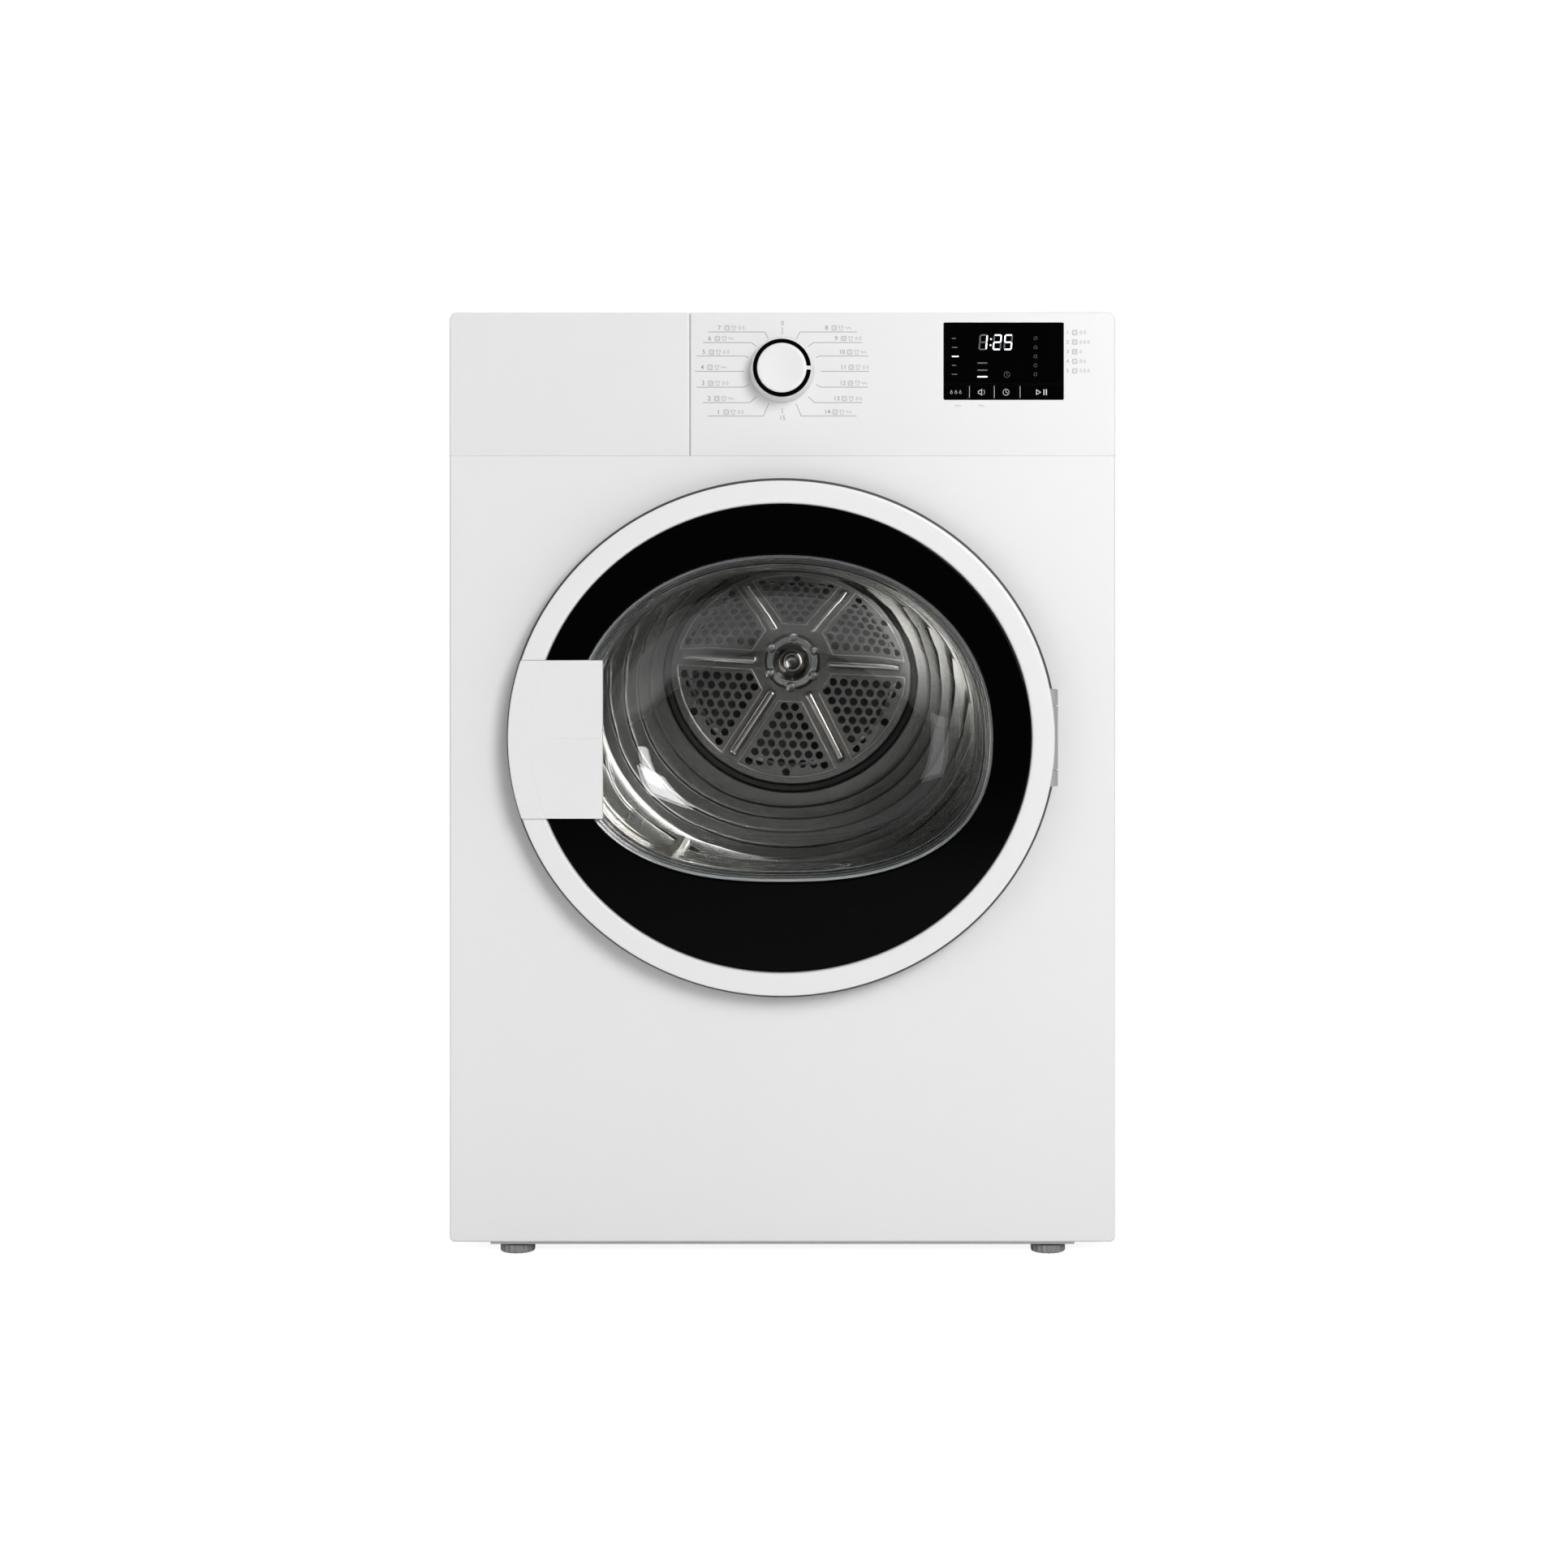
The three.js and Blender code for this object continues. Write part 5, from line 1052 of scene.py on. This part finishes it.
def programme_scale():
    """Sixteen leader lines round the knob, each with a generic number or mark."""
    line = 0.00055
    rows = [  # height above the knob's middle, outer end, bend, inner end and its height, on each side
        (0.0339, 0.0665, 0.0156, 0.0127, 0.0279),
        (0.0244, 0.0712, 0.0280, 0.0232, 0.0210),
        (0.0123, 0.0767, 0.0330, 0.0304, 0.0109),
        (-0.0014, 0.0780, 0.0345, 0.0345, -0.0014),
        (-0.0156, 0.0767, 0.0345, 0.0304, -0.0134),
        (-0.0294, 0.0712, 0.0290, 0.0232, -0.0241),
        (-0.0415, 0.0665, 0.0170, 0.0122, -0.0304),
    ]
    marks = []
    for k, (up, end, bend, tip, tip_up) in enumerate(rows):
        for side in (-1, 1):
            path = [(KNOB_X + side * end, KNOB_Z + up), (KNOB_X + side * bend, KNOB_Z + up)]
            if tip != bend:
                path.append((KNOB_X + side * tip, KNOB_Z + tip_up))
            marks += stroke(path, line, FASCIA_Y)
            number = str(7 - k if side < 0 else 8 + k)
            middle = KNOB_X + side * (end + bend) / 2 + side * 0.007
            marks += label(middle, KNOB_Z + up + 0.0036, number, k + (side > 0), FASCIA_Y)
    marks += stroke([(KNOB_X, KNOB_Z + 0.0318), (KNOB_X, KNOB_Z + 0.0378)], line, FASCIA_Y)
    marks += stroke([(KNOB_X, KNOB_Z - 0.0346), (KNOB_X, KNOB_Z - 0.0390)], line, FASCIA_Y)
    marks.append(digits("0", KNOB_X, KNOB_Z + 0.0415, 0.0056, FASCIA_Y, "CENTER"))
    marks.append(digits("15", KNOB_X, KNOB_Z - 0.0432, 0.0056, FASCIA_Y, "CENTER"))
    finish(merge("programme_marks", marks), PRINT_GREY, "root", "grey_plastic")
    extra = []
    for k in range(5):
        z = DISPLAY[1].z - 0.0088 - k * 0.0086
        extra.append(digits(str(k + 1), DISPLAY[1].x + 0.0025, z, 0.0046, FASCIA_Y))
        extra += dryer_symbol(DISPLAY[1].x + 0.0100, z, 1 + k % 3, FASCIA_Y)
        extra += temperature_drops(DISPLAY[1].x + 0.0155, z, 1 + (k + 1) % 3, FASCIA_Y)
    for x in (0.1572, 0.1783):
        extra += wave_symbol(x, DISPLAY[0].z - 0.0055 - (DISPLAY[0].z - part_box("key_start")[0].z), FASCIA_Y)
    finish(merge("display_side_marks", extra), PRINT_GREY, "root", "grey_plastic")


SEGMENTS = {
    "a": ((0, 2), (1, 2)), "b": ((1, 2), (1, 1)), "c": ((1, 1), (1, 0)), "d": ((0, 0), (1, 0)),
    "e": ((0, 1), (0, 0)), "f": ((0, 2), (0, 1)), "g": ((0, 1), (1, 1)),
}
LIT = {"1": "bc", "2": "abged", "5": "afgcd"}


def display_screen():
    """A black gloss window with a seven-segment clock and rows of small generic marks."""
    window = refined("display_window", 0.0008, 3)
    finish(window, FINISH["black_gloss"], "root", "black_gloss", "display_window")
    face = DISPLAY[0].y - 0.00006
    wide, high, lean = 0.0062, 0.0064, 0.0011
    lit, ghost = [], []
    base_z = DISPLAY[1].z - 0.0240
    for digit, left in (("1", 0.1763), ("2", 0.1889), ("5", 0.1987)):
        for key, ends in SEGMENTS.items():
            path = []
            for across, up in ends:
                path.append((left + across * wide + up * lean / 2, base_z + up * high))
            (x0, z0), (x1, z1) = path
            trim = 0.14
            path = [(x0 + (x1 - x0) * trim, z0 + (z1 - z0) * trim),
                    (x1 - (x1 - x0) * trim, z1 - (z1 - z0) * trim)]
            (lit if key in LIT[digit] else ghost).extend(stroke(path, 0.0013, face))
    for up in (0.0038, 0.0092):
        lit.append(dot(0.1862 + up * 0.08, base_z + up, 0.00075, face))
    lit += [dot(DISPLAY[0].x + 0.0091, DISPLAY[1].z - 0.0303, 0.0007, face)]
    for row, up in enumerate((0.0141, 0.0222, 0.0303, 0.0383, 0.0463)):
        marks = stroke([(0.1522, DISPLAY[1].z - up),
                        (0.1522 + 0.0030 + 0.0012 * (row % 3), DISPLAY[1].z - up)],
                       0.0009, face)
        (lit if row == 2 else ghost).extend(marks)
        ghost += circle_line(0.2268, DISPLAY[1].z - up, 0.0014, 0.0004, face, steps=10)
    for row, up in enumerate((0.0362, 0.0426, 0.0485)):
        marks = stroke([(0.1752, DISPLAY[1].z - up), (0.1832, DISPLAY[1].z - up)], 0.0012, face)
        (lit if row == 2 else ghost).extend(marks)
    ghost += circle_line(0.2012, DISPLAY[1].z - 0.0466, 0.0026, 0.0004, face, steps=16)
    ghost += stroke([(0.2012, DISPLAY[1].z - 0.0450), (0.2012, DISPLAY[1].z - 0.0466),
                     (0.2024, DISPLAY[1].z - 0.0472)],
                    0.0004, face)
    finish(merge("display_lit_marks", lit), LAMP_WHITE, "root", "white_plastic")
    finish(merge("display_dim_marks", ghost), PRINT_DIM, "root", "grey_plastic")


def key_caps():
    """Four low keys in one row, each with a white line mark."""
    for name in ("key_dry_level", "key_signal", "key_delay", "key_start"):
        low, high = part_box(name)
        cap = box(name + "_cap", (low.x + 0.0001, low.y, low.z), (high.x - 0.0001, high.y, high.z), 0.0006,
                  3)
        finish(cap, FINISH["black_gloss"], name + "_body", "black_gloss", name)
        x, z, face = (low.x + high.x) / 2, (low.z + high.z) / 2, low.y - 0.00006
        marks = []
        if name == "key_dry_level":
            for k in range(3):
                marks += temperature_drops(x - 0.0040 + 0.0040 * k, z, 1, face)
        elif name == "key_signal":
            marks += stroke([(x - 0.0022, z - 0.0012), (x - 0.0022, z + 0.0012), (x - 0.0008, z + 0.0012),
                             (x + 0.0009, z + 0.0026), (x + 0.0009, z - 0.0026), (x - 0.0008, z - 0.0012),
                             (x - 0.0022, z - 0.0012)], 0.0005, face)
            marks += circle_line(x + 0.0009, z, 0.0026, 0.0005, face, -0.8, 1.6, 8)
        elif name == "key_delay":
            marks += circle_line(x, z, 0.0027, 0.0005, face)
            marks += stroke([(x, z + 0.0016), (x, z), (x + 0.0013, z - 0.0008)], 0.0005, face)
        else:
            marks += stroke([(x - 0.0045, z - 0.0022), (x - 0.0045, z + 0.0022), (x - 0.0008, z),
                             (x - 0.0045, z - 0.0022)], 0.0006, face)
            marks += stroke([(x + 0.0022, z - 0.0022), (x + 0.0022, z + 0.0022)], 0.0009, face)
            marks += stroke([(x + 0.0044, z - 0.0022), (x + 0.0044, z + 0.0022)], 0.0009, face)
        if name != "key_dry_level":
            marks += stroke([(low.x + 0.0006, low.z + 0.0016), (low.x + 0.0006, high.z - 0.0012)], 0.00035,
                            face)
        finish(merge(name + "_mark", marks), PRINT_WHITE, name + "_body", "white_plastic")


programme_knob()
programme_scale()
display_screen()
key_caps()


# ---- drum ----------------------------------------------------------------------------------------

SPOKE_TILT = math.radians(-3.2)
PLATE_Y = BACK[1].y - 0.0075
PLATE_THICK = 0.0011
SIXTH = math.radians(60)
SPOKE_GAP = 0.0098
PETAL_FLAT = 0.0420
PETAL_OUTER = 0.1225
HOLE_PITCH = 0.0115
HOLE_R = 0.0042


def at_angle(piece, angle):
    """Turns a piece built to the right of the drum's middle anticlockwise about it."""
    return moved(piece, (0, 0, 0), -angle, "Y", (0, 0, DRUM_Z))


def petal(name, inset, front, rear):
    """A rounded wedge between two spokes, as a closed block; it points up."""
    gap = SPOKE_GAP + inset
    flat = PETAL_FLAT + inset
    outer = PETAL_OUTER - inset
    corner_x = (flat - gap / math.cos(SIXTH)) / math.tan(SIXTH)
    points = [(-corner_x, flat), (corner_x, flat)]
    steps = 14
    lean = math.asin(gap / outer)
    start, end = SIXTH + lean, 2 * SIXTH - lean
    for k in range(steps + 1):
        angle = start + (end - start) * k / steps
        points.append((outer * math.cos(angle), outer * math.sin(angle)))
    piece = loop(name, (0, front, DRUM_Z), 1, 1, len(points))
    for v, (x, z) in zip(piece.data.vertices, points):
        v.co.x, v.co.z = x, DRUM_Z + z
    return raise_loop(piece, (0, 0, DRUM_Z), [(1, 1, front), (1, 1, rear)], False, (True, True))


def in_petal(x, z, margin):
    """True where a point above the middle lies inside the petal by a margin."""
    r = math.hypot(x, z)
    if z < PETAL_FLAT + margin or r > PETAL_OUTER - margin:
        return False
    return all(z * math.cos(SIXTH) - side * x * math.sin(SIXTH) > SPOKE_GAP + margin for side in (-1, 1))


def hole_grid():
    """Hole places of one petal in staggered rows, on a grid along the petal's own axis."""
    places = []
    row_step = HOLE_PITCH * math.sqrt(3) / 2
    for row in range(0, 10):
        z = PETAL_FLAT + 0.0062 + row * row_step
        offset = 0.5 if row % 2 == 0 else 0.0
        for k in range(-7, 8):
            x = (k + offset) * HOLE_PITCH
            if in_petal(x, z, HOLE_R * 0.98):
                places.append((x, z))
    return places


def drum_back():
    """The pressed back: disc with six ribs and six perforated petals, a groove with a black band in it as
    painted shade, then stepped bands.
    """
    y = PLATE_Y
    t = PLATE_THICK
    face = [
        (0.2781, BACK[0].y), (0.2760, BACK[0].y + 0.0006), (0.2560, y - 0.0290), (0.2470, y - 0.0270),
        (0.2440, y - 0.0225), (0.2330, y - 0.0210), (0.2300, y - 0.0190), (0.2170, y - 0.0180),
        (0.2140, y - 0.0140), (0.2100, y - 0.0132), (0.1950, y - 0.0122), (0.1915, y - 0.0080),
        (0.1870, y - 0.0072),
        (0.1745, y - 0.0066), (0.1715, y - 0.0036), (0.1670, y - 0.0030), (0.1580, y - 0.0026),
        (0.1555, y - 0.0004),
        (0.1515, y), (0.1400, y), (0.1388, y + 0.0008), (0.1378, y + 0.0050), (0.1366, y + 0.0056),
        (0.1326, y + 0.0056), (0.1314, y + 0.0050), (0.1304, y + 0.0008), (0.1292, y), (0.0300, y),
    ]
    back = [(r, at + t) for r, at in reversed(face)]
    shell = turned("drum_back_plate", (0, 0, DRUM_Z), face + back, 144, True)
    wells, floors, cutters = [], [], []
    places = hole_grid()
    drill = turned("drill", (0, 0, DRUM_Z), [(HOLE_R, y - 0.01), (HOLE_R, y + 0.02)], 14, False,
                   (True, True))
    for k in range(6):
        angle = SPOKE_TILT + SIXTH * (k - 1)
        wells.append(at_angle(petal("well", 0.0006, y - 0.01, y + 0.01), angle))
        floors.append(at_angle(petal("floor", 0.0, y + 0.0012, y + 0.0012 + t), angle))
        for x, z in places:
            cutters.append(at_angle(moved(copy_of(drill, "drill_copy"), (x, 0, z)), angle))
    bpy.data.objects.remove(drill)
    shell = combine("drum_back_plate", [shell, merge("wells", wells)])
    bevel(shell, 0.0006, 2, 40)
    finish(shell, FINISH["drum_back_steel"], "drum", "drum_steel", "drum_rear_wall", angle=28)
    floor = combine("drum_back_screens", [merge("floors", floors), merge("drills", cutters)])
    bevel(floor, 0.00045, 2, 50)
    finish(floor, FINISH["drum_back_steel"], "drum", "drum_steel", angle=40)
    # the ribs and beads get the lighter steel as painted highlight
    ribs = []
    for k in range(6):
        angle = SPOKE_TILT + SIXTH * k
        rib = box("rib", (0.036, y - 0.0056, DRUM_Z - 0.0056), (0.1185, y + 0.0004, DRUM_Z + 0.0056),
                  0.0044, 5)
        ribs.append(at_angle(rib, angle))
    finish(merge("drum_back_ribs", ribs), FINISH["rib_highlight_steel"], "drum", "drum_steel", angle=50)
    # a black band laid in the groove: painted shade for the groove's shadow
    band = turned("drum_back_groove_shade_band", (0, 0, DRUM_Z), [
        (0.1320, y + 0.0050), (0.1322, y + 0.0030), (0.1330, y + 0.0024), (0.1360, y + 0.0024),
        (0.1370, y + 0.0030),
        (0.1372, y + 0.0050)], 120)
    finish(band, FINISH["black_rubber"], "drum", "black_rubber")
    lines = []
    for k in range(6):
        angle = SPOKE_TILT + SIXTH * (k - 1)
        outer = petal("bead", -0.0007, y - 0.0011, y + 0.0004)
        inner = petal("bead_way", 0.0012, y - 0.01, y + 0.01)
        lines.append(at_angle(combine("bead", [outer, inner]), angle))
    beads = merge("drum_back_beads", lines)
    bevel(beads, 0.0005, 2, 40)
    finish(beads, FINISH["rib_highlight_steel"], "drum", "drum_steel", angle=50)
    hub = turned("drum_hub_cap", (0, 0, DRUM_Z), [
        (0.0235, y + 0.0006), (0.0228, y - 0.0012), (0.0205, y - 0.0022), (0.0196, y - 0.0040),
        (0.0185, y - 0.0095),
        (0.0163, y - 0.0138), (0.0130, y - 0.0165), (0.0090, y - 0.0175), (0.0074, y - 0.0172),
        (0.0060, y - 0.0162), (0.002, y - 0.0160)], 64, False, (True, True))
    finish(hub, FINISH["drum_back_steel"], "drum", "machined_steel", angle=50)
    rivets = []
    rivet = turned("rivet", (0.0268, 0, DRUM_Z), [
        (0.0057, y + 0.0004), (0.0056, y - 0.0020), (0.0049, y - 0.0032), (0.0038, y - 0.0035),
        (0.0030, y - 0.0022),
        (0.001, y - 0.0020)], 24, False, (True, True))
    for k in range(6):
        rivets.append(at_angle(copy_of(rivet, "rivet_copy"), SPOKE_TILT + SIXTH * (k + 0.5)))
    bpy.data.objects.remove(rivet)
    finish(merge("drum_hub_rivets", rivets), FINISH["rib_highlight_steel"], "drum", "machined_steel", angle=45)


def drum_barrel():
    """The rolled drum with a curled front lip and pressed beads round it."""
    front, rear = DRUM[0].y, DRUM[1].y
    wall = SHEET
    outer = [(0.2440, front), (0.2452, front), (0.2560, front + 0.0012), (0.2690, front + 0.0024),
             (0.2765, front + 0.0060), (0.2797, front + 0.0120), (0.28, front + 0.018)]
    for k in range(3):
        middle = front + 0.075 + 0.1 * k if k < 2 else rear - 0.055
        outer += [(0.28, middle - 0.009), (0.2782, middle - 0.004), (0.2778, middle),
                  (0.2782, middle + 0.004),
                  (0.28, middle + 0.009)]
    outer += [(0.28, rear)]
    inner = [(r - wall, y + (wall if y < front + 0.013 else 0)) for r, y in reversed(outer[1:])]
    lip = [(0.2430, front + 0.0016), (0.2428, front + 0.0006)]
    shell = turned("drum_barrel", (0, 0, DRUM_Z), outer + inner + lip, 144, True)
    finish(shell, FINISH["drum_steel"], "drum", "drum_steel", "drum_shell", angle=40)
    for name in ("drum_lifter_1", "drum_lifter_2", "drum_lifter_3"):
        paddle = refined(name, 0.0012, 3, 25)
        finish(paddle, FINISH["drum_steel"], "drum", "drum_steel", name, angle=40)


drum_back()
drum_barrel()


# ---- feet, fixings and the parts inside ----------------------------------------------------------

def level_foot(name):
    """A fluted plastic foot on a threaded stem."""
    low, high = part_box(name)
    middle = (low + high) / 2
    radius = (high.x - low.x) / 2
    flutes = 18
    pad = loop("foot_pad", (middle.x, middle.y, low.z), 1, 1, flutes * 6, "Z")
    for v in pad.data.vertices:
        across, along = v.co.x - middle.x, v.co.y - middle.y
        wave = radius - 0.0006 - 0.0006 * math.cos(flutes * math.atan2(along, across))
        v.co.x, v.co.y = middle.x + across * wave, middle.y + along * wave
    stations = [(0.93, 0.93, low.z), (0.98, 0.98, low.z + 0.0006), (1, 1, low.z + 0.0016),
                (1, 1, low.z + 0.0062),
                (0.97, 0.97, low.z + 0.0074), (0.9, 0.9, low.z + 0.008), (0.62, 0.62, low.z + 0.0084),
                (0.55, 0.55, low.z + 0.0092)]
    raise_loop(pad, (middle.x, middle.y, 0), stations, False, (True, True), "Z")
    stem_r = 0.004
    thread = []
    z = low.z + 0.0084
    while z < high.z - 0.0015:
        thread += [(stem_r - 0.0006, z), (stem_r, z + 0.0005), (stem_r - 0.0006, z + 0.001)]
        z += 0.00125
    thread.append((stem_r - 0.0012, high.z - 0.0002))
    stem = turned("foot_stem", (middle.x, middle.y, 0), thread, 20, False, (True, True), "Z")
    foot = merge(name + "_turned", [pad, stem])
    finish(foot, FINISH["foot_plastic"], name + "_body", "dark_plastic", name, angle=30)


def screw(x, y, z, size=0.004):
    """A pan-head screw with a cross in it, which looks to the back."""
    head = turned("screw", (x, 0, z), [(size, y), (size * 0.98, y + size * 0.25),
                                       (size * 0.8, y + size * 0.45),
                                       (size * 0.45, y + size * 0.54)], 20, False, (True, True))
    slots = []
    for turn in (0.4, 0.4 + math.pi / 2):
        slot = box("slot", (x - size * 0.55, y, z - size * 0.1),
                   (x + size * 0.55, y + size, z + size * 0.1))
        moved(slot, (0, size * 0.32, 0))
        slots.append(moved(slot, turn=turn, centre=(x, 0, z)))
    return combine("screw", [head] + slots)


def rear_fixings():
    low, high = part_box("rear_panel")
    heads = []
    for z in (0.03, 0.18, 0.33, 0.48, 0.63, 0.80):
        for x in (low.x + 0.010, high.x - 0.010):
            heads.append(screw(x, high.y - 0.0002, z))
    for x in (-0.19, 0.0, 0.19):
        heads.append(screw(x, high.y - 0.0002, high.z - 0.010))
    finish(merge("rear_panel_screws", heads), FINISH["machined_steel"], "root", "machined_steel")
    screens = [box("screen", (x0, low.y - 0.0016, z0), (x1, low.y - 0.0006, z1), 0.0003, 1)
               for x0, x1, z0, z1 in ((0.040, 0.135, 0.455, 0.595), (-0.135, -0.040, 0.455, 0.595))]
    finish(merge("rear_louvre_screens", screens), FINISH["dark_plastic"], "root", "dark_plastic")
    cover = refined("terminal_cover", 0.0014, 3)
    finish(cover, FINISH["dark_plastic"], "root", "dark_plastic", "terminal_cover")
    cover_low, cover_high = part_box("terminal_cover")
    tops = [screw(x, cover_high.y - 0.0004, cover_high.z - 0.008, 0.0035)
            for x in (cover_low.x + 0.008, cover_high.x - 0.008)]
    finish(merge("terminal_cover_screws", tops), FINISH["machined_steel"], "root", "machined_steel")
    grommet = refined("cord_entry_grommet", 0.0006, 2)
    finish(grommet, FINISH["black_rubber"], "root", "black_rubber", "cord_entry_grommet")


def door_fixings():
    """Screws on the door's inner frame, seen with the door open."""
    low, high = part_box("door_inner_frame")
    middle_z = (low.z + high.z) / 2
    heads = []
    for degrees in (25, 65, 115, 155, 205, 245, 295, 335):
        angle = math.radians(degrees)
        x = DOOR_X + (DOOR_HIGH - 0.012 + STRETCH) * math.cos(angle)
        z = middle_z + (DOOR_HIGH - 0.012) * math.sin(angle)
        heads.append(screw(x, high.y - 0.0003, z, 0.0035))
    finish(merge("door_frame_screws", heads), FINISH["machined_steel"], "door", "machined_steel")


def inner_parts():
    """The parts inside keep their shape and get their edges broken."""
    table = [  # node, body, how much its edges are rounded, angle that still counts as smooth
        ("door_inner_frame", "door", 0.0008, 40),
        ("door_seal", "door", 0.0005, 40),
        ("door_strike", "door", 0.0008, 30),
        ("door_catch", "root", 0.0006, 30),
        ("front_bulkhead", "root", 0.0008, 35),
        ("moisture_sensor", "root", 0.0004, 30),
        ("lint_filter", "root", 0.0006, 30),
        ("filter_duct", "root", 0.0008, 30),
        ("blower_housing", "root", 0.001, 30),
        ("exhaust_pipe", "root", 0.0004, 40),
        ("rear_bearing_bracket", "root", 0.0005, 30),
        ("idler_arm", "idler_arm_body", 0.0005, 30),
        ("motor_housing", "root", 0.0012, 40),
        ("drum_shaft", "drum", 0.0005, 40),
    ]
    slot_of = {item["node"]: item["material_slot"] for item in frame["record"]["subparts"]}
    for name, body, edge, angle in table:
        slot_name = slot_of[name]
        finish(refined(name, edge, 2), FINISH[slot_name], body, slot_name, name, angle=angle)


for foot_name in ("foot_front_left", "foot_front_right", "foot_rear_left", "foot_rear_right"):
    level_foot(foot_name)
rear_fixings()
door_fixings()
inner_parts()


# ---- floor and end -------------------------------------------------------------------------------

def studio_floor():
    """A white floor that the camera sees as almost pure white, with the soft shadow still on it."""
    deselect()
    bpy.ops.mesh.primitive_plane_add(size=14, location=(0, 0, 0))
    floor = named("studio_floor")
    material, tree, shader = bare_material("floor_white", {"Roughness": 0.9, "Specular IOR Level": 0.1})
    tone = use(tree, TONE, {"Colour": (0.8, 0.8, 0.8, 1), "Drift": 0.01, "Scale": 1.0, "Roughness": 0.9})
    tree.links.new(tone.outputs["Colour"], shader.inputs["Base Color"])
    path = node(tree, "ShaderNodeLightPath")
    glow = node(tree, "ShaderNodeEmission", {"Color": (1, 1, 1, 1), "Strength": 0.9})
    both = node(tree, "ShaderNodeAddShader")
    pick_one = node(tree, "ShaderNodeMixShader")
    tree.links.new(shader.outputs[0], both.inputs[0])
    tree.links.new(glow.outputs[0], both.inputs[1])
    tree.links.new(path.outputs["Is Camera Ray"], pick_one.inputs["Fac"])
    tree.links.new(shader.outputs[0], pick_one.inputs[1])
    tree.links.new(both.outputs[0], pick_one.inputs[2])
    tree.links.new(pick_one.outputs[0], tree.nodes["Material Output"].inputs["Surface"])
    floor.data.materials.append(material)


studio_floor()
